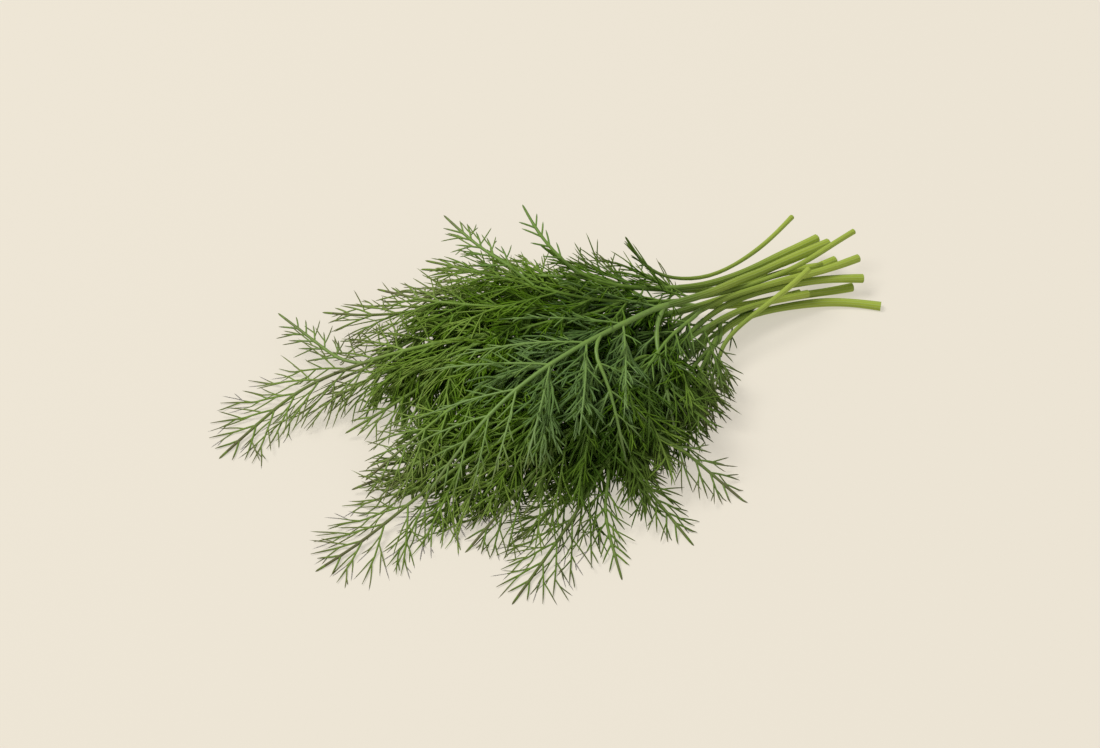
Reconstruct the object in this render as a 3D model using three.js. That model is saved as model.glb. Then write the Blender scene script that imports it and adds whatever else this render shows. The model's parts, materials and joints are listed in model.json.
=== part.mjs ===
// A bunch of fresh dill lying on a table, in millimetres: +X runs along the bare stalks to their
// cut ends, +Z is up, and the table is the plane z = 0. Every stalk is one solid and so is every
// leaf. A leaf is a thin midrib with side ribs in pairs, and the side ribs carry forked threads.
import * as THREE from "three";

// ---- Driving dimensions ----------------------------------------------------------------------
const LINE_STEP = 4; // between the points of a centre line
const LINE_CUTS = 20; // how many pieces a curve between two chosen points is measured in
const CLOSE = 1; // points of a centre line are farther apart than this
const TOUCH_GAP = 0.35; // clearance that neighbours keep
const JOINT_GAP = 0.4; // between a stalk and the leaf that it carries
const NO_LENGTH = 1e-9;
const SEED_STEP = 10; // between the seeds of two leaves, and of two joints of a side rib

// taper: a stalk's upper radius as a share of its cut end's. step: between its rings.
const STALK = { sides: 8, step: 10, taper: 0.62 };

// A leaf's midrib. shoulder: how early it thins towards its tip. jointLength: the part of it that
// a pair of side ribs takes. step: the longest stretch between its rings.
const MIDRIB = { sides: 4, tip: 0.45, shoulder: 0.8, jointLength: 1.7, step: 10 };

// A side leaf's foot: its radius as a share of its stalk's there, within limits, the first stretch
// of its line and how far that leans out, and the share of the leaf that has no side ribs.
const SIDE_LEAF = { share: 0.8, least: 0.6, most: 1, step: 7, lean: 0.6, bareShare: 0.22 };

// Where the pairs of side ribs stand: the lowest in a top leaf, the gaps between them at the
// leaf's foot and at its tip for each millimetre of its reach, the part of a gap that doesn't
// depend on it, and how far the highest pair stays from the tip.
const PAIRS = { first: 3, lowGap: 0.5, highGap: 0.2, leastGap: 2.3, shy: 8 };

// A side rib turns from the midrib by lowAngle at the leaf's foot and highAngle at its tip. Near
// the tip the ribs are about `slope` times as long as what is left of the midrib. They curl
// forward and droop. neck and end: its stretches without threads, within shares of its length.
const SIDE_RIB = {
  sides: 3,
  base: 0.62,
  tip: 0.45,
  clear: 0.5,
  lowAngle: 0.9,
  highAngle: 0.55,
  slope: 1,
  shortest: 6,
  curl: 0.12,
  droop: 0.14,
  neck: 2.4,
  neckShare: 0.35,
  end: 6,
  endShare: 0.4,
  forkGap: 12,
  jointLength: 1.3,
};

// Four threads stand on each joint of a side rib, two on each side, `turns` from its direction.
const THREAD = {
  radius: 0.36,
  clear: 0.25,
  longest: 14.5,
  shortest: 8,
  least: 5,
  share: 0.3,
  turns: { Back: 0.7, Front: 0.38 },
};
const LOWEST = { rib: 0.6, thread: 0.3 };

// The most by which a seeded draw changes a rib or a thread, up or down.
const VARY = {
  ribAngle: 0.1,
  ribLength: 0.1,
  ribLift: 0.06,
  threadLength: 0.2,
  threadAngle: 0.12,
  threadLift: 0.15,
};

// The low mound that the leaves lie on, which sets how their faces lean.
const MOUND = { x: -1, y: -1, halfLength: 115, halfWidth: 85 };

// Centre lines settle in rounds: `push` of each overlap is undone at once, and while `rounds`
// last a line is evened out and drawn back to where it was chosen. floor: the lowest that a line
// lies, as a share of its radius. spare: what is added to the touching gap.
const SETTLE = {
  rounds: 260,
  last: 200,
  push: 0.45,
  smooth: 0.12,
  back: 0.01,
  floor: 0.66,
  spare: 0.25,
};
const FINISH = {
  stalk: { color: 0x93ad55, roughness: 0.5, metalness: 0 },
  leaf: { color: 0x477a35, roughness: 0.6, metalness: 0 },
};

// ---- The bunch -------------------------------------------------------------------------------
// line: the centre line from the cut end to the tip of the top leaf. radius: at the cut end.
// bare: how far along the line its top leaf starts. reach: the longest side rib of that leaf.
const STALKS = [
  { name: "01", radius: 0.95, bare: 78, reach: 16,
    line: [[110, 42, 13], [98, 34, 14], [87, 28, 15], [75, 23, 16.5], [64, 19, 17.5],
      [56, 19, 19], [49, 20, 21], [41, 21, 23.5], [36, 24, 27], [35, 26, 33], [33, 28, 41]] },
  { name: "02", radius: 1.9, bare: 87, reach: 42,
    line: [[117, 26, 10], [106, 24, 11], [94, 21, 12.5], [83, 17, 15], [72, 13, 18],
      [61, 10, 21], [52, 7, 24], [45, 5, 27], [38, 3, 29.5], [30, 2, 32], [13, -7, 38],
      [-4, -13, 42], [-25, -19, 42], [-39, -21, 37], [-49, -23, 30], [-60, -25, 21],
      [-68, -28, 14]] },
  { name: "03", radius: 1.8, bare: 70, reach: 26,
    line: [[115, 31, 9], [105, 29, 9.5], [94, 26, 11], [81, 22, 13], [71, 19, 15], [63, 17, 17],
      [53, 16, 20], [40, 16, 25], [21, 15, 34], [7, 17, 42], [4, 23, 47], [0, 26, 51]] },
  { name: "04", radius: 1.15, bare: 74, reach: 28,
    line: [[126, 23, 15], [115, 20, 15.5], [104, 15, 16], [92, 12, 16], [87, 12, 16],
      [76, 12, 16], [65, 12, 17], [53, 9, 21], [41, 6, 27], [13, 8, 36], [-2, 16, 40],
      [-15, 29, 41], [-25, 39, 41], [-35, 49, 40]] },
  { name: "05", radius: 1.9, bare: 75, reach: 30,
    line: [[117, 20, 6], [107, 19, 7.5], [96, 17, 9], [84, 16, 10.5], [73, 14, 12], [61, 12, 14],
      [31, 6, 22], [-3, 10, 30], [-34, 19, 29], [-54, 31, 20], [-72, 40, 11], [-91, 43, 6],
      [-108, 37, 2], [-126, 28, 0.4]] },
  { name: "06", radius: 1.5, bare: 71, reach: 36,
    line: [[122, 12, 12], [115, 11, 12.3], [108, 10, 12.8], [99, 10, 13.5], [88, 11, 14.5],
      [77, 11, 15.5], [65, 10, 16.5], [56, 8, 18], [20, -8, 24], [-18, -22, 26], [-42, -23, 19],
      [-64, -23, 10], [-82, -27, 4], [-99, -33, 1.5], [-114, -36, 0.4]] },
  { name: "07", radius: 1.6, bare: 72, reach: 32,
    line: [[121, 6, 7], [113, 9, 8.5], [103, 11, 10], [95, 11, 11.5], [87, 11, 13],
      [76, 11, 14.5], [66, 10, 15.5], [56, 6, 16], [44, -1, 17], [28, -13, 19], [7, -33, 22],
      [-6, -41, 16], [-18, -48, 9], [-28, -55, 4], [-39, -62, 2], [-50, -70, 1.2],
      [-59, -76, 0.4]] },
  { name: "08", radius: 1.6, bare: 70, reach: 28,
    line: [[118, 8, 2], [109, 8, 2.6], [102, 10, 3.4], [92, 10, 5], [82, 11, 7], [71, 10, 9],
      [62, 8, 10], [55, 5, 10.5], [32, -13, 10], [8, -29, 10], [-16, -41, 7], [-34, -48, 2],
      [-50, -53, 0.4]] },
  { name: "09", radius: 1.7, bare: 80, reach: 15,
    line: [[123, -5, 1.2], [119, -1, 1.2], [114, 3, 1.3], [104, 7, 2], [93, 9, 3], [82, 9, 4.5],
      [75, 9, 6], [66, 7, 7.5], [56, 3, 8.5], [48, -6, 9], [41, -16, 7], [37, -27, 4],
      [34, -35, 0.4]] },
  { name: "10", radius: 1.15, bare: 51, reach: 13,
    line: [[98, 8, 19], [91, 4, 18], [83, 2, 17], [76, 0, 15.5], [70, 0, 14], [64, -1, 13],
      [57, -3, 12], [52, -5, 11], [48, -7, 10], [46, -13, 8.5], [47, -18, 6], [49, -22, 3]] },
  { name: "11", radius: 1.4, bare: 48, reach: 34,
    line: [[98, 7, 7.5], [90, 7, 9], [82, 7, 10.5], [74, 7, 12], [64, 5, 13.5], [55, 2, 15],
      [42, -5, 18], [15, -19, 26], [-7, -30, 27], [-24, -35, 22], [-41, -41, 13], [-56, -46, 5],
      [-64, -49, 1]] },
  { name: "12", radius: 1.5, bare: 56, reach: 32,
    line: [[109, 17, 8.5], [96, 18, 9], [86, 17, 10], [73, 17, 11], [60, 19, 13], [38, 24, 19],
      [10, 37, 23], [-18, 44, 21], [-42, 51, 16], [-60, 60, 13], [-69, 68, 12]] },
  { name: "13", radius: 1.5, bare: 41, reach: 32,
    line: [[99, 14, 1.3], [84, 15, 1.4], [73, 17, 1.6], [62, 18, 5], [42, 27, 8], [22, 41, 8],
      [0, 52, 6], [-21, 60, 2], [-32, 64, 0.4]] },
];

// Leaves that stand on the side of a stalk. at: how far up the stalk's line. line: from there on.
const SIDE_LEAVES = [
  { name: "02b", stalk: "02", at: 92, reach: 13,
    line: [[27, -3, 33], [23, -15, 28], [22, -26, 20.5], [19, -38, 13]] },
  { name: "02c", stalk: "02", at: 127, reach: 17,
    line: [[1, -11, 41], [-1, -25, 38], [-3, -36, 29], [-5, -47, 18]] },
  { name: "03c", stalk: "03", at: 119, reach: 8,
    line: [[2, 20, 49], [-2, 25, 54], [-3, 33, 57], [-2, 41, 59]] },
  { name: "03b", stalk: "03", at: 113, reach: 15,
    line: [[8, 18, 39], [-8, 29, 39], [-21, 42, 36], [-35, 53, 33]] },
  { name: "04b", stalk: "04", at: 124, reach: 24,
    line: [[8, 9, 38], [-20, 20, 37], [-38, 37, 31], [-52, 57, 26]] },
  { name: "04c", stalk: "04", at: 114, reach: 26,
    line: [[13, 7, 35], [-4, 8, 36], [-24, 10, 34], [-41, 16, 27], [-56, 21, 18]] },
  { name: "04d", stalk: "04", at: 146, reach: 10,
    line: [[-14, 29, 44], [-19, 37, 47], [-23, 47, 49], [-25, 57, 50]] },
  { name: "05b", stalk: "05", at: 153, reach: 24,
    line: [[-38, 13, 27], [-50, 13, 20], [-61, 15, 13], [-72, 17, 7], [-81, 17, 4]] },
  { name: "05e", stalk: "05", at: 115, reach: 24,
    line: [[-4, 8, 27], [-17, 13, 19], [-31, 17, 13], [-46, 19, 9], [-59, 21, 6]] },
  { name: "05c", stalk: "05", at: 201, reach: 9,
    line: [[-73, 45, 10], [-79, 59, 10], [-85, 74, 11]] },
  { name: "05d", stalk: "05", at: 172, reach: 22,
    line: [[-52, 31, 18], [-62, 31, 14], [-74, 32, 9], [-85, 33, 4]] },
  { name: "06b", stalk: "06", at: 122, reach: 28,
    line: [[2, -5, 32], [-26, -3, 31], [-52, -5, 23], [-71, -7, 13], [-84, -9, 7]] },
  { name: "06d", stalk: "06", at: 75, reach: 14,
    line: [[42, 0, 22], [31, -8, 27], [22, -16, 29], [13, -24, 28]] },
  { name: "06e", stalk: "06", at: 140, reach: 24,
    line: [[-17, -18, 20], [-28, -10, 13], [-40, -3, 9], [-53, 2, 6], [-66, 5, 3]] },
  { name: "06c", stalk: "06", at: 164, reach: 22,
    line: [[-43, -22, 20], [-58, -17, 15], [-73, -12, 8], [-89, -9, 3]] },
  { name: "07b", stalk: "07", at: 129, reach: 14,
    line: [[7, -35, 22], [14, -44, 16], [20, -50, 10], [24, -57, 5], [30, -68, 0.5]] },
  { name: "07c", stalk: "07", at: 142, reach: 12,
    line: [[-4, -43, 16], [-1, -53, 9], [2, -64, 4], [5, -78, 0.5]] },
  { name: "07d", stalk: "07", at: 152, reach: 9,
    line: [[-13, -47, 13], [-18, -52, 8], [-20, -61, 4], [-21, -71, 2], [-23, -81, 0.5]] },
  { name: "08b", stalk: "08", at: 62, reach: 24,
    line: [[54, 2, 8], [45, -10, 12], [31, -21, 18], [19, -33, 15], [10, -44, 8]] },
  { name: "08c", stalk: "08", at: 89, reach: 22,
    line: [[28, -16, 12], [11, -26, 15], [-4, -33, 14], [-19, -37, 9], [-30, -41, 4]] },
  { name: "08d", stalk: "08", at: 44, reach: 12,
    line: [[67, 11, 4.5], [59, 8, 3.5], [51, 4, 2.5], [43, -1, 2]] },
  { name: "09b", stalk: "09", at: 74, reach: 15,
    line: [[49, -3, 9], [36, -18, 11], [28, -30, 8], [23, -42, 2]] },
  { name: "11d", stalk: "11", at: 103, reach: 22,
    line: [[-4, -25, 20], [-14, -23, 12], [-27, -22, 8], [-42, -19, 4]] },
  { name: "11b", stalk: "11", at: 127, reach: 22,
    line: [[-23, -33, 20], [-36, -34, 16], [-50, -33, 10], [-64, -32, 4]] },
  { name: "11c", stalk: "11", at: 82, reach: 26,
    line: [[14, -20, 29], [1, -24, 32], [-19, -26, 31], [-37, -26, 25], [-52, -26, 17]] },
  { name: "12b", stalk: "12", at: 93, reach: 26,
    line: [[22, 39, 18], [2, 53, 15], [-18, 63, 9], [-34, 70, 3]] },
  { name: "12c", stalk: "12", at: 127, reach: 22,
    line: [[-19, 42, 21], [-36, 38, 19], [-50, 38, 15], [-65, 40, 11]] },
  { name: "13b", stalk: "13", at: 62, reach: 24,
    line: [[38, 35, 12], [32, 47, 12], [22, 57, 6], [12, 64, 0.4]] },
];

// ---- Draws, paths and clearances -------------------------------------------------------------
const UP = new THREE.Vector3(0, 0, 1);

// A repeatable draw between 0 and 1.
function draw(seed, index) {
  const wave = Math.sin(seed * 12.9898 + index * 78.233) * 43758.5453;
  return wave - Math.floor(wave);
}

function jitter(seed, index, most) {
  return (2 * draw(seed, index) - 1) * most;
}

class Path {
  constructor(points) {
    this.points = points;
    this.reached = [0];
    for (let i = 1; i < points.length; i += 1) {
      this.reached.push(this.reached[i - 1] + points[i].distanceTo(points[i - 1]));
    }
    this.length = this.reached[points.length - 1];
  }

  point(distance) {
    const wanted = THREE.MathUtils.clamp(distance, 0, this.length);
    let i = 1;
    while (i < this.points.length - 1 && this.reached[i] < wanted) {
      i += 1;
    }
    const share = (wanted - this.reached[i - 1]) / (this.reached[i] - this.reached[i - 1]);
    return this.points[i - 1].clone().lerp(this.points[i], share);
  }

  direction(distance) {
    return this.point(distance + LINE_STEP / 2).sub(this.point(distance - LINE_STEP / 2)).normalize();
  }
}

// A smooth line through the chosen points, with its own points LINE_STEP apart.
function smoothLine(line) {
  const corners = line.map((p) => new THREE.Vector3(...p));
  const curve = new THREE.CatmullRomCurve3(corners, false, "catmullrom", 0.5);
  const fine = new Path(curve.getPoints(LINE_CUTS * (line.length - 1)));
  const count = Math.round(fine.length / LINE_STEP);
  return Array.from({ length: count + 1 }, (_, i) => fine.point((fine.length * i) / count));
}

// The nearest points of two segments, as shares of each, and the way from the second to the first.
function nearest(a, b, c, d) {
  const first = b.clone().sub(a);
  const second = d.clone().sub(c);
  const between = a.clone().sub(c);
  const aa = first.dot(first);
  const bb = first.dot(second);
  const cc = second.dot(second);
  const dd = first.dot(between);
  const ee = second.dot(between);
  const spread = aa * cc - bb * bb;
  let s = spread > NO_LENGTH ? THREE.MathUtils.clamp((bb * ee - cc * dd) / spread, 0, 1) : 0;
  const t = THREE.MathUtils.clamp((bb * s + ee) / cc, 0, 1);
  s = THREE.MathUtils.clamp((bb * t - dd) / aa, 0, 1);
  const way = between.addScaledVector(first, s).addScaledVector(second, -t);
  return { s, t, way };
}

// ---- Centre lines that lie clear of one another -----------------------------------------------
// A strand is a centre line with its radii. Its first `held` points don't move, and its first
// `free` stretches may lie close to its parent, the stalk that it stands on.
function settle(movers, others) {
  const homes = movers.map((strand) => strand.points.map((p) => p.clone()));
  const pairs = [];
  movers.forEach((strand, i) => {
    movers.slice(i + 1).forEach((other) => pairs.push([strand, other, 0.5]));
    others.forEach((other) => pairs.push([strand, other, 0]));
  });
  for (let round = 0; round < SETTLE.rounds + SETTLE.last; round += 1) {
    const moves = new Map();
    movers.forEach((strand) => moves.set(strand, strand.points.map(() => new THREE.Vector3())));
    for (const [strand, other, share] of pairs) {
      pushApart(strand, other, moves.get(strand), share ? moves.get(other) : null);
    }
    movers.forEach((strand, k) => {
      const relaxed = strand.points.map((point, i) => {
        if (i < strand.held) {
          return point;
        }
        const moved = point.clone().addScaledVector(moves.get(strand)[i], SETTLE.push);
        if (round < SETTLE.rounds && i > 0 && i < strand.points.length - 1) {
          const middle = strand.points[i - 1].clone().add(strand.points[i + 1]).multiplyScalar(0.5);
          moved.addScaledVector(middle.sub(point), SETTLE.smooth);
          moved.addScaledVector(homes[k][i].clone().sub(point), SETTLE.back);
        }
        moved.z = Math.max(moved.z, strand.radii[i] * SETTLE.floor);
        return moved;
      });
      strand.points = relaxed;
    });
  }
}

function pushApart(strand, other, moves, otherMoves) {
  for (let i = 0; i < strand.points.length - 1; i += 1) {
    for (let j = 0; j < other.points.length - 1; j += 1) {
      const need = strand.radii[i] + other.radii[j] + TOUCH_GAP + SETTLE.spare;
      const far = strand.points[i].distanceTo(other.points[j]);
      if (far > need + 2 * LINE_STEP + CLOSE || (other === strand.parent && i < strand.free)) {
        continue;
      }
      const { s, t, way } = nearest(
        strand.points[i], strand.points[i + 1], other.points[j], other.points[j + 1]);
      const apart = way.length();
      if (apart >= need) {
        continue;
      }
      const push = way.multiplyScalar((need - apart) / Math.max(apart, NO_LENGTH));
      const mine = otherMoves ? 0.5 : 1;
      moves[i].addScaledVector(push, mine * (1 - s));
      moves[i + 1].addScaledVector(push, mine * s);
      if (otherMoves) {
        otherMoves[j].addScaledVector(push, -mine * (1 - t));
        otherMoves[j + 1].addScaledVector(push, -mine * t);
      }
    }
  }
}

// The radius of a stalk's line at a distance from its cut end: the stalk, then its top leaf's midrib.
function lineRadius(row, length, distance) {
  if (distance <= row.bare) {
    return row.radius * THREE.MathUtils.lerp(1, STALK.taper, distance / row.bare);
  }
  const share = Math.min((distance - row.bare) / (length - row.bare), 1);
  return THREE.MathUtils.lerp(row.radius * STALK.taper, MIDRIB.tip, share ** MIDRIB.shoulder);
}

function stalkStrand(row) {
  const points = smoothLine(row.line);
  const length = new Path(points).length;
  const radii = points.map((_, i) => lineRadius(row, length, i * LINE_STEP));
  return { row, points, radii, held: 0, free: 0 };
}

// A side leaf's line starts on the side of its stalk, at the height where it leaves it.
function sideStrand(row, stalks) {
  const parent = stalks.find((strand) => strand.row.name === row.stalk);
  const stalk = new Path(parent.points);
  const foot = stalk.point(row.at);
  const along = stalk.direction(row.at);
  const thick = lineRadius(parent.row, stalk.length, row.at);
  const towards = new THREE.Vector3(...row.line[1]).sub(foot);
  const out = towards.clone().addScaledVector(along, -towards.dot(along)).normalize();
  const radius = THREE.MathUtils.clamp(SIDE_LEAF.share * thick, SIDE_LEAF.least, SIDE_LEAF.most);
  const start = foot.clone().addScaledVector(out, thick + radius + JOINT_GAP);
  const next = start.clone()
    .addScaledVector(out, SIDE_LEAF.step * SIDE_LEAF.lean)
    .addScaledVector(along, SIDE_LEAF.step);
  const line = [start.toArray(), next.toArray(), ...row.line.slice(1)];
  const points = smoothLine(line);
  const radii = points.map((_, i) =>
    THREE.MathUtils.lerp(radius, MIDRIB.tip, i / (points.length - 1)));
  return { row, parent, radius, points, radii, held: 2, free: 4 };
}

// ---- Leaves: where the side ribs and the threads go --------------------------------------------
const capsules = []; // what a new rib or thread has to keep clear of

// A capsule is a stretch with round ends. Its owner says whose it is, for `skip` to tell.
function addCapsule(from, to, radius, owner) {
  const middle = from.clone().add(to).multiplyScalar(0.5);
  const half = from.distanceTo(to) / 2 + radius;
  capsules.push({ from, to, radius, middle, half, ...owner });
}

// Whether a stretch is clear of all capsules but those that `skip` lets through.
function isClear(from, to, radius, skip) {
  const middle = from.clone().add(to).multiplyScalar(0.5);
  const half = from.distanceTo(to) / 2 + radius + TOUCH_GAP;
  return !capsules.some((other) => {
    if (middle.distanceToSquared(other.middle) > (half + other.half) ** 2 || skip(other)) {
      return false;
    }
    const { way } = nearest(from, to, other.from, other.to);
    return way.length() < radius + other.radius + TOUCH_GAP;
  });
}

// The way up from a leaf's face: leaves lie on the mound that the bunch makes.
function mound(point) {
  const lean = new THREE.Vector3(
    (2 * point.z * (point.x - MOUND.x)) / MOUND.halfLength ** 2,
    (2 * point.z * (point.y - MOUND.y)) / MOUND.halfWidth ** 2,
    1,
  );
  return lean.normalize();
}

function squareTo(direction, normal) {
  return normal.clone().addScaledVector(direction, -normal.dot(direction)).normalize();
}

// Ways to turn a rib or a thread, to lift it and to scale it. The first that is clear is taken.
const RIB_WAYS = [[0, 0, 1], [0, 0.12, 1], [0, -0.12, 1], [0.2, 0, 1], [-0.2, 0, 1], [0.2, 0.2, 1],
  [-0.2, 0.2, 1], [0, 0.3, 1], [0, -0.25, 1], [0.3, 0.3, 0.9], [-0.3, 0.3, 0.9], [0, 0.45, 0.8],
  [0, 0, 0.7], [0, 0.25, 0.6], [0.25, 0, 0.6], [-0.25, -0.1, 0.6], [0, 0.1, 0.45]];
const THREAD_WAYS = [[0, 0, 1], [0, 0.2, 1], [0, -0.2, 1], [0.18, 0, 1], [-0.18, 0, 1], [0, 0.4, 0.9],
  [0, 0, 0.75], [0.2, 0.3, 0.75], [-0.2, 0.3, 0.75], [0.1, -0.2, 0.7], [0, 0.2, 0.55], [0, 0, 0.5]];

// A side rib as a run of points: its root, its neck, its joints and its tip.
function ribPoints(joint, side, angle, length, lift) {
  const across = joint.direction.clone().cross(joint.normal).multiplyScalar(side);
  const out = joint.direction.clone()
    .multiplyScalar(Math.cos(angle))
    .addScaledVector(across, Math.sin(angle));
  const neck = Math.min(SIDE_RIB.neck, SIDE_RIB.neckShare * length);
  const forked = length - neck - Math.min(SIDE_RIB.end, SIDE_RIB.endShare * length);
  const forks = Math.round(forked / SIDE_RIB.forkGap);
  const stations = Array.from({ length: forks }, (_, k) => neck + (forked * (k + 0.5)) / forks);
  return [0, neck, ...stations, length].map((reach) => {
    const share = (reach / length) ** 2;
    const point = joint.point.clone().addScaledVector(out, reach);
    point.addScaledVector(joint.direction, SIDE_RIB.curl * length * share);
    point.addScaledVector(joint.normal, lift * length * share);
    point.z = Math.max(point.z - SIDE_RIB.droop * length * share, LOWEST.rib);
    return point;
  });
}

// A side rib in the first of the ways that is clear, or null.
function planRib(leaf, joint, side, seed) {
  const angle = THREE.MathUtils.lerp(
    SIDE_RIB.lowAngle, SIDE_RIB.highAngle, joint.distance / leaf.path.length)
    + jitter(seed, 1, VARY.ribAngle);
  const rest = leaf.path.length - joint.distance;
  const length = leaf.row.reach * Math.tanh((SIDE_RIB.slope * rest) / leaf.row.reach)
    * (1 + jitter(seed, 2, VARY.ribLength));
  const rise = jitter(seed, 3, VARY.ribLift);
  const key = leaf.row.name + "/" + joint.distance.toFixed(1);
  const mine = key + "/" + side;
  const skip = (other) => other.midribOf === leaf || other.rib === key;
  for (const [swing, lift, size] of RIB_WAYS) {
    const reach = Math.max(length * size, SIDE_RIB.shortest);
    const points = ribPoints(joint, side, angle + swing, reach, lift + rise);
    const runs = points.slice(1).map((point, i) => [points[i], point]);
    if (runs.every(([from, to]) => isClear(from, to, SIDE_RIB.clear, skip))) {
      runs.forEach(([from, to]) => addCapsule(from, to, SIDE_RIB.clear, { rib: key, joint: mine }));
      return { leaf, joint, side, points, length: reach, key, mine, seed, threads: [] };
    }
  }
  return null;
}

// The tips of the threads on one joint of a side rib, by their places, where there is room.
function planThreads(rib, index) {
  const at = rib.points[index];
  const direction = at.clone().sub(rib.points[index - 1]).normalize();
  const normal = squareTo(direction, rib.joint.normal);
  const across = direction.clone().cross(normal);
  const share = (index - 1) / (rib.points.length - 1);
  const mine = rib.mine + "/" + index;
  const skip = (other) => other.joint === mine || other.joint === rib.mine;
  const tips = {};
  const most = Math.min(
    THREE.MathUtils.lerp(THREAD.longest, THREAD.shortest, share),
    THREAD.least + THREAD.share * rib.length,
  );
  [["right", 1], ["left", -1]].forEach(([name, side]) => {
    Object.entries(THREAD.turns).forEach(([place, turn]) => {
      const seed = rib.seed + SEED_STEP * index + side + turn;
      const length = most * (1 + jitter(seed, 4, VARY.threadLength));
      for (const [swing, lift, size] of THREAD_WAYS) {
        const angle = turn + swing + jitter(seed, 5, VARY.threadAngle);
        const out = direction.clone()
          .multiplyScalar(Math.cos(angle))
          .addScaledVector(across, side * Math.sin(angle))
          .addScaledVector(normal, lift + jitter(seed, 6, VARY.threadLift))
          .normalize();
        const tip = at.clone().addScaledVector(out, length * size);
        tip.z = Math.max(tip.z, LOWEST.thread);
        const root = at.clone().addScaledVector(out, 2 * THREAD.radius);
        if (isClear(root, tip, THREAD.clear, skip)) {
          addCapsule(root, tip, THREAD.clear, { rib: rib.key, joint: mine });
          tips[name + place] = tip;
          break;
        }
      }
    });
  });
  return tips;
}

// The joints of a leaf's midrib, closer together towards its tip. They are set out from the
// lowest by growing gaps, then stretched so that the highest comes where it should.
function planJoints(leaf) {
  const ribbed = leaf.path.length - PAIRS.shy - leaf.firstJoint;
  const reaches = [0];
  while (reaches[reaches.length - 1] < ribbed) {
    const last = reaches[reaches.length - 1];
    const gap = THREE.MathUtils.lerp(PAIRS.lowGap, PAIRS.highGap, last / ribbed);
    reaches.push(last + gap * leaf.row.reach + PAIRS.leastGap);
  }
  const stretch = ribbed / reaches[reaches.length - 1];
  return reaches.map((reach) => {
    const distance = leaf.firstJoint + reach * stretch;
    const direction = leaf.path.direction(distance);
    const point = leaf.path.point(distance);
    return { distance, direction, point, normal: squareTo(direction, mound(point)) };
  });
}

// ---- Skins -------------------------------------------------------------------------------------
// A ring's corners go round its direction. Its right side is between corners 0 and 1, its left
// side between corners 2 and 3, or 2 and 0 where it has three.
function ring(centre, direction, normal, radius, sides) {
  const top = squareTo(direction, normal);
  const right = direction.clone().cross(top);
  const turn = sides === 3 ? 0 : Math.PI / sides;
  return Array.from({ length: sides }, (_, k) => {
    const angle = turn + (2 * Math.PI * k) / sides;
    const corner = centre.clone()
      .addScaledVector(top, radius * Math.cos(angle))
      .addScaledVector(right, radius * Math.sin(angle));
    corner.z = Math.max(corner.z, 0);
    return corner;
  });
}

class Skin {
  constructor() {
    this.numbers = [];
  }

  face(a, b, c) {
    this.numbers.push(...a.toArray(), ...b.toArray(), ...c.toArray());
  }

  // The two triangles of each side between two rings. `grow` may raise one of them.
  band(near, far, grow = () => false) {
    near.forEach((corner, side) => {
      const next = (side + 1) % near.length;
      const back = [corner, near[next], far[next]];
      const front = [corner, far[next], far[side]];
      if (!grow(side, "Back", back)) {
        this.face(...back);
      }
      if (!grow(side, "Front", front)) {
        this.face(...front);
      }
    });
  }

  spike(base, apex) {
    base.forEach((corner, k) => this.face(corner, base[(k + 1) % base.length], apex));
  }

  startCap(corners) {
    for (let k = 1; k < corners.length - 1; k += 1) {
      this.face(corners[0], corners[k + 1], corners[k]);
    }
  }

  endCap(corners) {
    for (let k = 1; k < corners.length - 1; k += 1) {
      this.face(corners[0], corners[k], corners[k + 1]);
    }
  }

  mesh(name, finish) {
    const geometry = new THREE.BufferGeometry();
    geometry.setAttribute("position", new THREE.Float32BufferAttribute(this.numbers, 3));
    geometry.computeVertexNormals();
    const mesh = new THREE.Mesh(geometry, new THREE.MeshStandardMaterial(finish));
    mesh.name = name;
    return mesh;
  }
}

// A ring's three corners, started from the one that keeps a band to the far ring widest: its
// edges and its diagonals, which run one corner ahead, are then shortest.
function untwisted(near, far) {
  const turns = [0, 1, 2].map((turn) => near.map((_, k) => near[(k + turn) % 3]));
  const twist = (turned) => turned.reduce((sum, corner, k) =>
    sum + corner.distanceTo(far[k]) + corner.distanceTo(far[(k + 1) % 3]), 0);
  return turns.reduce((best, turned) => (twist(turned) < twist(best) ? turned : best));
}

// The corners of a neck, which stand about it as those of the base stand about the root.
function neckRing(base, root, centre, radius) {
  const direction = centre.clone().sub(root).normalize();
  const middle = base[0].clone().add(base[1]).add(base[2]).divideScalar(3);
  const offsets = base.map((corner) => {
    const offset = corner.clone().sub(middle);
    return offset.addScaledVector(direction, -offset.dot(direction));
  });
  const reach = Math.max(...offsets.map((offset) => offset.length()));
  return offsets.map((offset) => centre.clone().addScaledVector(offset, radius / reach));
}

const SIDE_NAME = { 0: "right", 2: "left" };

function growThreads(skin, tips) {
  return (side, place, base) => {
    const tip = tips[SIDE_NAME[side] + place];
    if (!tip) {
      return false;
    }
    skin.spike(base, tip);
    return true;
  };
}

// A side rib raised from one triangle of the midrib.
function growRib(skin, rib, base) {
  const { points } = rib;
  const ringOn = (k, ahead) => {
    const direction = points[k].clone().sub(points[k - 1]).normalize();
    const centre = points[k].clone().addScaledVector(direction, ahead);
    const radius = THREE.MathUtils.lerp(SIDE_RIB.base, SIDE_RIB.tip, k / (points.length - 1));
    return ring(centre, direction, rib.joint.normal, radius, SIDE_RIB.sides);
  };
  let before = neckRing(base, points[0], points[1], SIDE_RIB.base);
  skin.band(base, before);
  for (let k = 2; k < points.length - 1; k += 1) {
    const near = ringOn(k, -SIDE_RIB.jointLength / 2);
    const far = ringOn(k, SIDE_RIB.jointLength / 2);
    skin.band(untwisted(before, near), near);
    skin.band(near, far, growThreads(skin, rib.threads[k]));
    before = far;
  }
  skin.spike(before, points[points.length - 1]);
}

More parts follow.
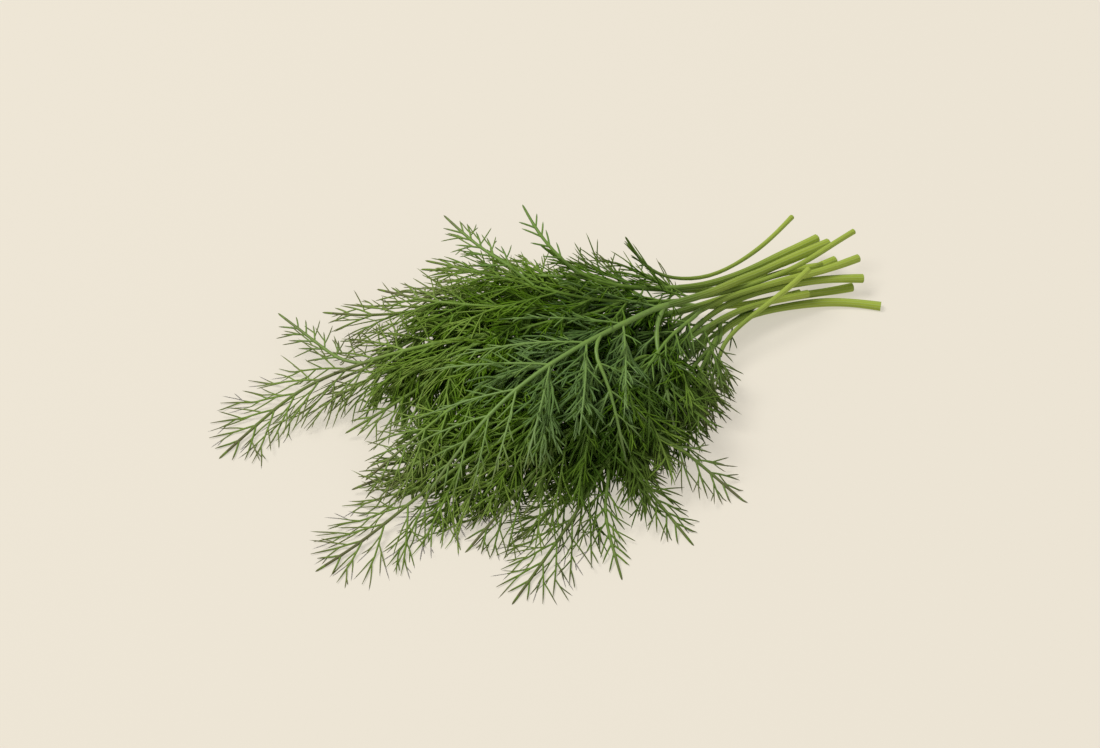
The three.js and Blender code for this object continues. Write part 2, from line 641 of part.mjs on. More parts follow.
function leafMesh(leaf) {
  const skin = new Skin();
  const { path, radiusAt } = leaf;
  const ringAt = (distance, normal) =>
    ring(path.point(distance), path.direction(distance), normal, radiusAt(distance), MIDRIB.sides);
  let before = ringAt(0, mound(path.point(0)));
  skin.startCap(before);
  let reached = 0;
  for (const joint of leaf.joints) {
    const bare = joint.distance - MIDRIB.jointLength / 2 - reached;
    const steps = Math.max(Math.round(bare / MIDRIB.step), 1);
    for (let k = 1; k <= steps; k += 1) {
      const distance = reached + (bare * k) / steps;
      const next = ringAt(distance, mound(path.point(distance)));
      skin.band(before, next);
      before = next;
    }
    reached = joint.distance + MIDRIB.jointLength / 2;
    const far = ringAt(reached, mound(path.point(reached)));
    skin.band(before, far, (side, place, base) => {
      const rib = place === "Back" && leaf.ribs.find((one) =>
        one.joint === joint && (one.side > 0 ? "right" : "left") === SIDE_NAME[side]);
      if (!rib) {
        return false;
      }
      growRib(skin, rib, base);
      return true;
    });
    before = far;
  }
  skin.spike(before, path.point(path.length));
  return skin.mesh("leaf_" + leaf.row.name, FINISH.leaf);
}

function stalkMesh(strand) {
  const skin = new Skin();
  const { row } = strand;
  const path = new Path(strand.points);
  const end = row.bare - JOINT_GAP;
  const steps = Math.round(end / STALK.step);
  const rings = Array.from({ length: steps + 1 }, (_, k) => {
    const distance = (end * k) / steps;
    return ring(path.point(distance), path.direction(distance), UP,
      lineRadius(row, path.length, distance), STALK.sides);
  });
  skin.startCap(rings[0]);
  rings.slice(1).forEach((next, k) => skin.band(rings[k], next));
  skin.endCap(rings[rings.length - 1]);
  return skin.mesh("stalk_" + row.name, FINISH.stalk);
}

// ---- The whole bunch ---------------------------------------------------------------------------
const stalkStrands = STALKS.map(stalkStrand);
settle(stalkStrands, []);
const sideStrands = SIDE_LEAVES.map((row) => sideStrand(row, stalkStrands));
settle(sideStrands, stalkStrands);

function topLeaf(strand) {
  const whole = new Path(strand.points);
  const { row } = strand;
  const points = [whole.point(row.bare)];
  strand.points.forEach((point, i) => {
    if (whole.reached[i] > row.bare + CLOSE) {
      points.push(point);
    }
  });
  const radiusAt = (distance) => lineRadius(row, whole.length, row.bare + distance);
  return { row, path: new Path(points), radiusAt, firstJoint: PAIRS.first, ribs: [] };
}

function sideLeaf(strand) {
  const path = new Path(strand.points);
  const radiusAt = (distance) =>
    THREE.MathUtils.lerp(strand.radius, MIDRIB.tip, distance / path.length);
  return { row: strand.row, path, radiusAt, firstJoint: path.length * SIDE_LEAF.bareShare, ribs: [] };
}

const leaves = [...stalkStrands.map(topLeaf), ...sideStrands.map(sideLeaf)];

[...stalkStrands, ...sideStrands].forEach((strand, number) => {
  strand.points.slice(1).forEach((point, i) =>
    addCapsule(strand.points[i], point, strand.radii[i], { midribOf: leaves[number] }));
});

leaves.forEach((leaf, number) => {
  leaf.joints = planJoints(leaf);
  leaf.joints.forEach((joint, k) => {
    [1, -1].forEach((side) => {
      const rib = planRib(leaf, joint, side, SEED_STEP * (number + 1) + k + side / 4);
      if (rib) {
        leaf.ribs.push(rib);
      }
    });
  });
});
leaves.flatMap((leaf) => leaf.ribs).forEach((rib) => {
  for (let index = 2; index < rib.points.length - 1; index += 1) {
    rib.threads[index] = planThreads(rib, index);
  }
});

const bunch = new THREE.Group();
stalkStrands.forEach((strand) => bunch.add(stalkMesh(strand)));
leaves.forEach((leaf) => bunch.add(leafMesh(leaf)));

export default bunch;
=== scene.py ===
"""A fresh bunch of dill that lies on a pale table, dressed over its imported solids."""

import json
import logging
import math
from dataclasses import dataclass, field, fields
from enum import Enum, IntEnum
from typing import Any

import bpy
import numpy as np
from mathutils import Matrix, Vector

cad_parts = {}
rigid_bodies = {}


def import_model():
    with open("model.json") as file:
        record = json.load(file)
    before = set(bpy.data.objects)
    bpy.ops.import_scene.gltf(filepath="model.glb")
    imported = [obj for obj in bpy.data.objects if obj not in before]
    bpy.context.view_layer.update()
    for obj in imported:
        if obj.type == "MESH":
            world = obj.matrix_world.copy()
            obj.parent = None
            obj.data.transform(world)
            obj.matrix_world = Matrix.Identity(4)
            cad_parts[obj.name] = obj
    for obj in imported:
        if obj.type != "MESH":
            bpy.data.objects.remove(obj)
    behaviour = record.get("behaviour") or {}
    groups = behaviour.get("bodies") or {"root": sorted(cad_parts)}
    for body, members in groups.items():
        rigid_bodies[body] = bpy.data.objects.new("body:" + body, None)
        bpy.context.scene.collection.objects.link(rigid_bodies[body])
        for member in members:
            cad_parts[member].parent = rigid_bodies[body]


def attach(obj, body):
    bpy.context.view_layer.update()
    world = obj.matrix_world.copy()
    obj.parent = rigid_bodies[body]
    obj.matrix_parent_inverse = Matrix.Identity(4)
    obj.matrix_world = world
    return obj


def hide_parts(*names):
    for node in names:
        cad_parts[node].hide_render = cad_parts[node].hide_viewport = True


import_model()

LOG = logging.getLogger("dill_bunch")
Point = tuple[float, float, float]
Colour = tuple[float, float, float]
Span = tuple[float, float]
Triple = tuple[float, float, float]
Array = np.ndarray
Piece = bpy.types.Object
Material = bpy.types.Material

MM = 0.001
UP = np.array((0.0, 0.0, 1.0))

# What stands in for nothing where a length or an area is divided by.
TINIEST = 1e-12
TINY = 1e-9

# The rates and the size of the wave that repeatable draws are read from.
SEED_RATE = 12.9898
INDEX_RATE = 78.233
WAVE_SIZE = 43758.5453


# ---- The plan of the bunch, in millimetres ----


@dataclass(frozen=True)
class StalkRow:
    """A stalk: its centre line from the cut end to the tip of the leaf at its top."""

    name: str
    radius: float
    bare: float
    reach: float
    line: tuple[Point, ...]


@dataclass(frozen=True)
class SideRow:
    """A leaf that stands on the side of a stalk, and how far up the stalk it stands."""

    name: str
    stalk: str
    at: float
    reach: float
    line: tuple[Point, ...]


STALK_ROWS = (
    StalkRow("01", 0.95, 78, 16, ((110, 42, 13), (98, 34, 14), (87, 28, 15), (75, 23, 16.5),
        (64, 19, 17.5), (56, 19, 19), (49, 20, 21), (41, 21, 23.5), (36, 24, 27), (35, 26, 33),
        (33, 28, 41))),
    StalkRow("02", 1.9, 87, 42, ((117, 26, 10), (106, 24, 11), (94, 21, 12.5), (83, 17, 15),
        (72, 13, 18), (61, 10, 21), (52, 7, 24), (45, 5, 27), (38, 3, 29.5), (30, 2, 32),
        (13, -7, 38), (-4, -13, 42), (-25, -19, 42), (-39, -21, 37), (-49, -23, 30), (-60, -25, 21),
        (-68, -28, 14))),
    StalkRow("03", 1.8, 70, 26, ((115, 31, 9), (105, 29, 9.5), (94, 26, 11), (81, 22, 13),
        (71, 19, 15), (63, 17, 17), (53, 16, 20), (40, 16, 25), (21, 15, 34), (7, 17, 42),
        (4, 23, 47), (0, 26, 51))),
    StalkRow("04", 1.15, 74, 28, ((126, 23, 15), (115, 20, 15.5), (104, 15, 16), (92, 12, 16),
        (87, 12, 16), (76, 12, 16), (65, 12, 17), (53, 9, 21), (41, 6, 27), (13, 8, 36),
        (-2, 16, 40), (-15, 29, 41), (-25, 39, 41), (-35, 49, 40))),
    StalkRow("05", 1.9, 75, 30, ((117, 20, 6), (107, 19, 7.5), (96, 17, 9), (84, 16, 10.5),
        (73, 14, 12), (61, 12, 14), (31, 6, 22), (-3, 10, 30), (-34, 19, 29), (-54, 31, 20),
        (-72, 40, 11), (-91, 43, 6), (-108, 37, 2), (-126, 28, 0.4))),
    StalkRow("06", 1.5, 71, 36, ((122, 12, 12), (115, 11, 12.3), (108, 10, 12.8),
        (99, 10, 13.5), (88, 11, 14.5), (77, 11, 15.5), (65, 10, 16.5), (56, 8, 18), (20, -8, 24),
        (-18, -22, 26), (-42, -23, 19), (-64, -23, 10), (-82, -27, 4), (-99, -33, 1.5),
        (-114, -36, 0.4))),
    StalkRow("07", 1.6, 72, 32, ((121, 6, 7), (113, 9, 8.5), (103, 11, 10), (95, 11, 11.5),
        (87, 11, 13), (76, 11, 14.5), (66, 10, 15.5), (56, 6, 16), (44, -1, 17), (28, -13, 19),
        (7, -33, 22), (-6, -41, 16), (-18, -48, 9), (-28, -55, 4), (-39, -62, 2), (-50, -70, 1.2),
        (-59, -76, 0.4))),
    StalkRow("08", 1.6, 70, 28, ((118, 8, 2), (109, 8, 2.6), (102, 10, 3.4), (92, 10, 5),
        (82, 11, 7), (71, 10, 9), (62, 8, 10), (55, 5, 10.5), (32, -13, 10), (8, -29, 10),
        (-16, -41, 7), (-34, -48, 2), (-50, -53, 0.4))),
    StalkRow("09", 1.7, 80, 15, ((123, -5, 1.2), (119, -1, 1.2), (114, 3, 1.3), (104, 7, 2),
        (93, 9, 3), (82, 9, 4.5), (75, 9, 6), (66, 7, 7.5), (56, 3, 8.5), (48, -6, 9), (41, -16, 7),
        (37, -27, 4), (34, -35, 0.4))),
    StalkRow("10", 1.15, 51, 13, ((98, 8, 19), (91, 4, 18), (83, 2, 17), (76, 0, 15.5),
        (70, 0, 14), (64, -1, 13), (57, -3, 12), (52, -5, 11), (48, -7, 10), (46, -13, 8.5),
        (47, -18, 6), (49, -22, 3))),
    StalkRow("11", 1.4, 48, 34, ((98, 7, 7.5), (90, 7, 9), (82, 7, 10.5), (74, 7, 12),
        (64, 5, 13.5), (55, 2, 15), (42, -5, 18), (15, -19, 26), (-7, -30, 27), (-24, -35, 22),
        (-41, -41, 13), (-56, -46, 5), (-64, -49, 1))),
    StalkRow("12", 1.5, 56, 32, ((109, 17, 8.5), (96, 18, 9), (86, 17, 10), (73, 17, 11),
        (60, 19, 13), (38, 24, 19), (10, 37, 23), (-18, 44, 21), (-42, 51, 16), (-60, 60, 13),
        (-69, 68, 12))),
    StalkRow("13", 1.5, 41, 32, ((99, 14, 1.3), (84, 15, 1.4), (73, 17, 1.6), (62, 18, 5),
        (42, 27, 8), (22, 41, 8), (0, 52, 6), (-21, 60, 2), (-32, 64, 0.4))),
)

SIDE_ROWS = (
    SideRow("02b", "02", 92, 13, ((27, -3, 33), (23, -15, 28), (22, -26, 20.5), (19, -38, 13))),
    SideRow("02c", "02", 127, 17, ((1, -11, 41), (-1, -25, 38), (-3, -36, 29), (-5, -47, 18))),
    SideRow("03c", "03", 119, 8, ((2, 20, 49), (-2, 25, 54), (-3, 33, 57), (-2, 41, 59))),
    SideRow("03b", "03", 113, 15, ((8, 18, 39), (-8, 29, 39), (-21, 42, 36), (-35, 53, 33))),
    SideRow("04b", "04", 124, 24, ((8, 9, 38), (-20, 20, 37), (-38, 37, 31), (-52, 57, 26))),
    SideRow("04c", "04", 114, 26, ((13, 7, 35), (-4, 8, 36), (-24, 10, 34), (-41, 16, 27),
        (-56, 21, 18))),
    SideRow("04d", "04", 146, 10, ((-14, 29, 44), (-19, 37, 47), (-23, 47, 49), (-25, 57, 50))),
    SideRow("05b", "05", 153, 24, ((-38, 13, 27), (-50, 13, 20), (-61, 15, 13), (-72, 17, 7),
        (-81, 17, 4))),
    SideRow("05e", "05", 115, 24, ((-4, 8, 27), (-17, 13, 19), (-31, 17, 13), (-46, 19, 9),
        (-59, 21, 6))),
    SideRow("05c", "05", 201, 9, ((-73, 45, 10), (-79, 59, 10), (-85, 74, 11))),
    SideRow("05d", "05", 172, 22, ((-52, 31, 18), (-62, 31, 14), (-74, 32, 9), (-85, 33, 4))),
    SideRow("06b", "06", 122, 28, ((2, -5, 32), (-26, -3, 31), (-52, -5, 23), (-71, -7, 13),
        (-84, -9, 7))),
    SideRow("06d", "06", 75, 14, ((42, 0, 22), (31, -8, 27), (22, -16, 29), (13, -24, 28))),
    SideRow("06e", "06", 140, 24, ((-17, -18, 20), (-28, -10, 13), (-40, -3, 9), (-53, 2, 6),
        (-66, 5, 3))),
    SideRow("06c", "06", 164, 22, ((-43, -22, 20), (-58, -17, 15), (-73, -12, 8),
        (-89, -9, 3))),
    SideRow("07b", "07", 129, 14, ((7, -35, 22), (14, -44, 16), (20, -50, 10), (24, -57, 5),
        (30, -68, 0.5))),
    SideRow("07c", "07", 142, 12, ((-4, -43, 16), (-1, -53, 9), (2, -64, 4), (5, -78, 0.5))),
    SideRow("07d", "07", 152, 9, ((-13, -47, 13), (-18, -52, 8), (-20, -61, 4), (-21, -71, 2),
        (-23, -81, 0.5))),
    SideRow("08b", "08", 62, 24, ((54, 2, 8), (45, -10, 12), (31, -21, 18), (19, -33, 15),
        (10, -44, 8))),
    SideRow("08c", "08", 89, 22, ((28, -16, 12), (11, -26, 15), (-4, -33, 14), (-19, -37, 9),
        (-30, -41, 4))),
    SideRow("08d", "08", 44, 12, ((67, 11, 4.5), (59, 8, 3.5), (51, 4, 2.5), (43, -1, 2))),
    SideRow("09b", "09", 74, 15, ((49, -3, 9), (36, -18, 11), (28, -30, 8), (23, -42, 2))),
    SideRow("11d", "11", 103, 22, ((-4, -25, 20), (-14, -23, 12), (-27, -22, 8),
        (-42, -19, 4))),
    SideRow("11b", "11", 127, 22, ((-23, -33, 20), (-36, -34, 16), (-50, -33, 10),
        (-64, -32, 4))),
    SideRow("11c", "11", 82, 26, ((14, -20, 29), (1, -24, 32), (-19, -26, 31), (-37, -26, 25),
        (-52, -26, 17))),
    SideRow("12b", "12", 93, 26, ((22, 39, 18), (2, 53, 15), (-18, 63, 9), (-34, 70, 3))),
    SideRow("12c", "12", 127, 22, ((-19, 42, 21), (-36, 38, 19), (-50, 38, 15), (-65, 40, 11))),
    SideRow("13b", "13", 62, 24, ((38, 35, 12), (32, 47, 12), (22, 57, 6), (12, 64, 0.4))),
)


@dataclass(frozen=True)
class LineRules:
    """How centre lines are spaced and how they come to lie clear of one another."""

    step: float = 4.0
    evening: float = 0.25
    touch_gap: float = 0.35
    spare: float = 0.25
    margin: float = 1.0
    rounds: int = 260
    last: int = 200
    push: float = 0.45
    smooth: float = 0.12
    back: float = 0.01
    floor: float = 0.66
    spans: int = 20
    side_held: int = 2
    side_free: int = 4


@dataclass(frozen=True)
class LeafRules:
    """How the midrib and the side ribs of a leaf are laid out."""

    stalk_taper: float = 0.62
    midrib_tip: float = 0.45
    midrib_shoulder: float = 0.8
    rib_clear: float = 0.5
    rib_neck: float = 2.4
    neck_share: float = 0.35
    rib_end: float = 6.0
    end_share: float = 0.4
    fork_gap: float = 12.0
    pair_gaps: Span = (0.5, 0.2)
    least_pair_gap: float = 2.3
    rib_angles: Span = (0.9, 0.55)
    angle_stray: float = 0.1
    length_stray: float = 0.1
    lift_stray: float = 0.06
    slope: float = 1.0
    shortest: float = 6.0
    curl: float = 0.12
    droop: float = 0.14
    floor: float = 0.6
    top_clear: float = 1.0
    top_first: float = 3.0
    top_shy: float = 8.0
    side_share: float = 0.8
    side_least: float = 0.6
    side_most: float = 1.0
    side_step: float = 7.0
    side_lean: float = 0.6
    side_bare_share: float = 0.22
    joint_gap: float = 0.4
    root_depth: float = 0.35
    root_back: float = 3.0


@dataclass(frozen=True)
class Mound:
    """The low mound that the leaves lie on, which sets the way that their faces lean."""

    x: float = -1.0
    y: float = -1.0
    half_length: float = 115.0
    half_width: float = 85.0
    far_slope: float = 0.7
    # The next three set the painted light, which lightens the tone towards the far left and the back,
    # as if lit more from there.
    young_from: float = -8.0
    young_over: float = 75.0
    youngest: float = 0.9
    edge_middle: Span = (-13.0, 2.0)
    edge_halves: Span = (80.0, 62.0)
    edge_from: float = 0.3
    edge_over: float = 0.5
    edge_light: float = 0.3
    edge_dryness: float = 0.2

    def lean(self, points: Array) -> Array:
        """Gives the mound's outward direction at each point.

        Args:
            points: Places on the mound, one a row.

        Returns:
            Unit vectors, one a row.
        """
        lean = np.ones_like(points)
        lean[..., 0] = 2 * points[..., 2] * (points[..., 0] - self.x) / self.half_length**2
        lean[..., 1] = 2 * points[..., 2] * (points[..., 1] - self.y) / self.half_width**2
        return unit(lean)

    def youth(self, points: Array) -> Array:
        """Tells how much lighter the leaves are: painted light towards the far left and the back, as
        if lit more from there, and lighter at the mound's edge.

        Args:
            points: Places on the mound, one a row.

        Returns:
            What is added to the tone at each.
        """
        out = self.far_slope * points[:, 1] - points[:, 0] - self.young_from
        young = self.youngest * np.clip(out / self.young_over, 0, 1)
        return young + self.edge_light * self.edge(points)

    def edge(self, points: Array) -> Array:
        """Tells how near each place is to the mound's edge, from 0 inside to 1 at the edge."""
        out = (points[:, :2] - self.edge_middle) / self.edge_halves
        return np.clip(((out**2).sum(axis=1) - self.edge_from) / self.edge_over, 0, 1)


LINES = LineRules()
LEAVES = LeafRules()
MOUND = Mound()

# Each way turns a side rib, lifts it and scales it, and the first that lies clear is taken.
RIB_WAYS = (
    (0, 0, 1), (0, 0.12, 1), (0, -0.12, 1), (0.2, 0, 1), (-0.2, 0, 1), (0.2, 0.2, 1),
    (-0.2, 0.2, 1), (0, 0.3, 1), (0, -0.25, 1), (0.3, 0.3, 0.9), (-0.3, 0.3, 0.9), (0, 0.45, 0.8),
    (0, 0, 0.7), (0, 0.25, 0.6), (0.25, 0, 0.6), (-0.25, -0.1, 0.6), (0, 0.1, 0.45),
)


# ---- Small geometry ----


def unit(vectors: Array) -> Array:
    """Scales vectors to length one."""
    return vectors / np.maximum(np.linalg.norm(vectors, axis=-1, keepdims=True), TINIEST)


def square_to(directions: Array, normals: Array) -> Array:
    """Turns normals square to their unit directions."""
    return unit(normals - directions * np.sum(directions * normals, axis=-1, keepdims=True))


def between(ends: Span, share: Any) -> Any:
    """Goes from one value to the other as a share goes from 0 to 1."""
    return ends[0] * (1 - share) + ends[1] * share


class Draw(IntEnum):
    """What a repeatable draw is for, which sets it apart from the other draws of its seed."""

    ANGLE = 1
    LENGTH = 2
    LIFT = 3
    STALK_TONE = 3
    BLOOM = 5
    TONE = 7
    LOW_TURN = 11
    LOW_SWING = 12
    LOW_LENGTH = 13


def draw(seed: float, index: Draw) -> float:
    """Gives a repeatable draw between 0 and 1."""
    wave = math.sin(seed * SEED_RATE + index * INDEX_RATE) * WAVE_SIZE
    return wave - math.floor(wave)


def jitter(seed: float, index: Draw, most: float) -> float:
    """Gives a repeatable draw between -most and most."""
    return (2 * draw(seed, index) - 1) * most


class Path:
    """A run of points that is read by the distance along it."""

    def __init__(self, points: Array) -> None:
        """Measures the run.

        Args:
            points: The points of the run, one a row.
        """
        self.points = points
        steps = np.linalg.norm(np.diff(points, axis=0), axis=1)
        self.reached = np.concatenate(((0.0,), np.cumsum(steps)))
        self.length = float(self.reached[-1])

    def at(self, distances: Array) -> Array:
        """Gives the points at some distances along the run."""
        return np.stack([np.interp(distances, self.reached, self.points[:, k]) for k in range(3)], -1)

    def point(self, distance: float) -> Array:
        """Gives the point at one distance."""
        return self.at(np.array((distance,)))[0]

    def direction(self, distance: float) -> Array:
        """Gives the way that the run goes at one distance."""
        half = LINES.step / 2
        return unit(self.point(distance + half) - self.point(distance - half))

    def smoothed(self, passes: int = 2) -> "Path":
        """Evens out the run between its ends.

        Args:
            passes: How many times each inner point moves towards its neighbours.

        Returns:
            A new run with the same ends.
        """
        points = self.points.copy()
        for _ in range(passes):
            points[1:-1] += LINES.evening * (points[:-2] + points[2:] - 2 * points[1:-1])
        return Path(points)


def smooth_line(line: tuple[Point, ...]) -> Array:
    """Draws a smooth line through chosen points.

    Args:
        line: The points that the line passes through.

    Returns:
        Its own points, evenly spaced.
    """
    given = np.array(line, float)
    held = np.vstack((2 * given[0] - given[1], given, 2 * given[-1] - given[-2]))
    places = np.linspace(0, len(given) - 1, LINES.spans * (len(given) - 1) + 1)
    first = np.minimum(places.astype(int), len(given) - 2)
    w = (places - first)[:, None]
    before, start, end, after = (held[first + k] for k in range(4))
    leave, arrive = 0.5 * (end - before), 0.5 * (after - start)
    fine = Path(
        start + leave * w
        + (-3 * start + 3 * end - 2 * leave - arrive) * w**2
        + (2 * start - 2 * end + leave + arrive) * w**3
    )
    count = int(math.floor(fine.length / LINES.step + 0.5))
    return fine.at(np.linspace(0, fine.length, count + 1))


def nearest(a: Array, b: Array, c: Array, d: Array) -> tuple[Array, Array, Array]:
    """Finds the nearest points of pairs of segments.

    Args:
        a: Starts of the first segments.
        b: Their ends.
        c: Starts of the second segments.
        d: Their ends.

    Returns:
        The shares along the first and the second segments, and the ways from second to first.
    """
    first, second, between = b - a, d - c, a - c
    aa, bb, cc = (np.sum(p * q, -1) for p, q in ((first, first), (first, second), (second, second)))
    dd, ee = (np.sum(p * between, -1) for p in (first, second))
    spread = aa * cc - bb * bb
    wide = spread > TINY
    s = np.where(wide, np.clip((bb * ee - cc * dd) / np.where(wide, spread, 1), 0, 1), 0)
    t = np.clip((bb * s + ee) / cc, 0, 1)
    s = np.clip((bb * t - dd) / aa, 0, 1)
    return s, t, between + first * s[..., None] - second * t[..., None]


# ---- Centre lines ----


@dataclass
class Strand:
    """The centre line of a stalk with its top leaf, or of a side leaf."""

    row: StalkRow | SideRow
    points: Array
    radii: Array
    held: int = 0
    free: int = 0
    parent: "Strand | None" = None
    root: Array | None = None


def line_radius(row: StalkRow, length: float, distance: Array) -> Array:
    """Gives the radius of a stalk's line: the stalk first, then its top leaf's midrib.

    Args:
        row: The stalk.
        length: The length of its whole line.
        distance: Distances from the cut end.

    Returns:
        The radii there.
    """
    upper = row.radius * LEAVES.stalk_taper
    stalk = row.radius * (1 - (1 - LEAVES.stalk_taper) * distance / row.bare)
    share = np.clip((distance - row.bare) / (length - row.bare), 0, 1) ** LEAVES.midrib_shoulder
    return np.where(distance <= row.bare, stalk, upper + (LEAVES.midrib_tip - upper) * share)


def stalk_strand(row: StalkRow) -> Strand:
    """Lays a stalk's centre line as it was chosen.

    Args:
        row: The stalk.

    Returns:
        Its line, which is free to move.
    """
    points = smooth_line(row.line)
    radii = line_radius(row, Path(points).length, np.arange(len(points)) * LINES.step)
    return Strand(row, points, radii)


def side_strand(row: SideRow, stalks: list[Strand]) -> Strand:
    """Lays a side leaf's centre line from the side of its stalk.

    Args:
        row: The side leaf.
        stalks: The settled stalks.

    Returns:
        The leaf's line, whose first two points stay where they are.
    """
    parent = next(one for one in stalks if one.row.name == row.stalk)
    stalk = Path(parent.points)
    foot, along = stalk.point(row.at), stalk.direction(row.at)
    thick = float(line_radius(parent.row, stalk.length, np.array(row.at)))
    towards = np.array(row.line[1]) - foot
    out = unit(towards - along * towards.dot(along))
    radius = min(max(LEAVES.side_share * thick, LEAVES.side_least), LEAVES.side_most)
    start = foot + out * (thick + radius + LEAVES.joint_gap)
    following = start + out * LEAVES.side_step * LEAVES.side_lean + along * LEAVES.side_step
    points = smooth_line((tuple(start), tuple(following), *row.line[1:]))
    shares = np.arange(len(points)) / (len(points) - 1)
    radii = radius + (LEAVES.midrib_tip - radius) * shares
    root = foot + out * LEAVES.root_depth * thick - along * LEAVES.root_back
    return Strand(row, points, radii, LINES.side_held, LINES.side_free, parent, root)


class Settling:
    """Moves centre lines until each lies clear of the rest."""

    # How many rounds pass between looks for near pairs, and how far a pair may close meanwhile.
    REFRESH = 10
    SLACK = 6.0

    def __init__(self, movers: list[Strand], others: list[Strand]) -> None:
        """Numbers the points of all lines and pairs their segments.

        Args:
            movers: The lines that may move.
            others: The lines that stay.
        """
        self.movers = movers
        every = movers + others
        sizes = [len(one.points) for one in every]
        self.starts = np.cumsum([0, *sizes])
        self.places = np.vstack([one.points for one in every])
        self.radii = np.concatenate([one.radii for one in every])
        self.moving = int(self.starts[len(movers)])
        first, second = [], []
        for i, one in enumerate(movers):
            for j in range(i + 1, len(every)):
                here = np.arange(self.starts[i], self.starts[i + 1] - 1)
                if every[j] is one.parent:
                    here = here[one.free:]
                there = np.arange(self.starts[j], self.starts[j + 1] - 1)
                first.append(np.repeat(here, len(there)))
                second.append(np.tile(there, len(here)))
        self.first, self.second = np.concatenate(first), np.concatenate(second)

    def run(self) -> None:
        """Moves the lines apart, round by round, and gives them their new points."""
        home = self.places.copy()
        inner = np.zeros(len(self.places), bool)
        fixed = np.ones(len(self.places), bool)
        for k, one in enumerate(self.movers):
            inner[self.starts[k] + 1:self.starts[k + 1] - 1] = True
            fixed[self.starts[k] + one.held:self.starts[k + 1]] = False
        inner &= ~fixed
        at = np.nonzero(inner)[0]
        lowest = self.radii * LINES.floor
        for turn in range(LINES.rounds + LINES.last):
            if turn % self.REFRESH == 0:
                near = self._closer(self.first, self.second, self.SLACK)
                first, second = self.first[near], self.second[near]
            here = self._closer(first, second, 0.0)
            moved = self.places + LINES.push * self._pushes(first[here], second[here])
            if turn < LINES.rounds:
                middle = (self.places[at - 1] + self.places[at + 1]) / 2
                moved[at] += LINES.smooth * (middle - self.places[at])
                moved[at] += LINES.back * (home[at] - self.places[at])
            moved[:, 2] = np.maximum(moved[:, 2], lowest)
            moved[fixed] = self.places[fixed]
            self.places = moved
        for k, one in enumerate(self.movers):
            one.points = self.places[self.starts[k]:self.starts[k + 1]]

    def _need(self, first: Array, second: Array) -> Array:
        """Gives how far apart the segments of each pair have to be."""
        return self.radii[first] + self.radii[second] + LINES.touch_gap + LINES.spare

    def _closer(self, first: Array, second: Array, slack: float) -> Array:
        """Tells which segment pairs may be near enough to touch, with some slack."""
        far = np.linalg.norm(self.places[first] - self.places[second], axis=1)
        return far <= self._need(first, second) + 2 * LINES.step + LINES.margin + slack

    def _pushes(self, first: Array, second: Array) -> Array:
        """Adds up how far the touching segments push each point.

        Args:
            first: The numbers of the first segments' starts.
            second: The numbers of the second segments' starts.

        Returns:
            The push on every point of all lines.
        """
        p = self.places
        s, t, way = nearest(p[first], p[first + 1], p[second], p[second + 1])
        apart = np.linalg.norm(way, axis=1)
        need = self._need(first, second)
        push = way / np.maximum(apart, TINY)[:, None] * np.maximum(need - apart, 0)[:, None]
        mine = np.where(second < self.moving, 0.5, 1.0)[:, None] * push
        total = np.zeros_like(p)
        np.add.at(total, first, mine * (1 - s)[:, None])
        np.add.at(total, first + 1, mine * s[:, None])
        np.add.at(total, second, -mine * (1 - t)[:, None])
        np.add.at(total, second + 1, -mine * t[:, None])
        return total


# ---- Leaves: where the side ribs go ----


class Clearance:
    """The round-ended pieces that a new side rib has to keep clear of."""

    MOST = 6000

    def __init__(self) -> None:
        """Makes room for the pieces."""
        self.starts = np.zeros((self.MOST, 3))
        self.ends = np.zeros((self.MOST, 3))
        self.radii = np.zeros(self.MOST)
        self.midrib_of = np.full(self.MOST, -1)
        self.joint_of = np.full(self.MOST, -1)
        self.count = 0

    def add(self, points: Array, radii: Array, midrib_of: int, joint_of: int) -> None:
        """Adds a run of pieces.

        Args:
            points: The points between the pieces.
            radii: The radius of each piece.
            midrib_of: The number of the leaf whose midrib this is, or -1.
            joint_of: The number of the joint that this rib stands on, or -1.
        """
        more = slice(self.count, self.count + len(points) - 1)
        self.starts[more], self.ends[more], self.radii[more] = points[:-1], points[1:], radii
        self.midrib_of[more], self.joint_of[more] = midrib_of, joint_of
        self.count += len(points) - 1

    def is_free(self, points: Array, radius: float, leaf: int, joint: int) -> bool:
        """Tells whether a rib lies clear of all but its own leaf's midrib and its own joint.

        Args:
            points: The joints of the rib.
            radius: Its radius.
            leaf: The number of its leaf.
            joint: The number of its joint.

        Returns:
            Whether it does.
        """
        n = self.count
        others = (self.midrib_of[:n] != leaf) & (self.joint_of[:n] != joint)
        middles = (self.starts[:n] + self.ends[:n]) / 2
        halves = np.linalg.norm(self.ends[:n] - self.starts[:n], axis=1) / 2 + self.radii[:n]
        for start, end in zip(points[:-1], points[1:]):
            half = np.linalg.norm(end - start) / 2 + radius + LINES.touch_gap
            apart = np.linalg.norm(middles - (start + end) / 2, axis=1)
            near = np.nonzero(others & (apart <= half + halves))[0]
            if not len(near):
                continue
            _, _, way = nearest(start[None], end[None], self.starts[near], self.ends[near])
            limits = radius + self.radii[near] + LINES.touch_gap
            if np.any(np.linalg.norm(way, axis=1) < limits):
                return False
        return True


@dataclass
class Joint:
    """A place on a midrib where a pair of side ribs stands."""

    distance: float
    point: Array
    direction: Array
    normal: Array

    @property
    def edge(self) -> float:
        """How near the mound's edge it is, from 0 to 1."""
        return MOUND.edge(self.point[None])[0]


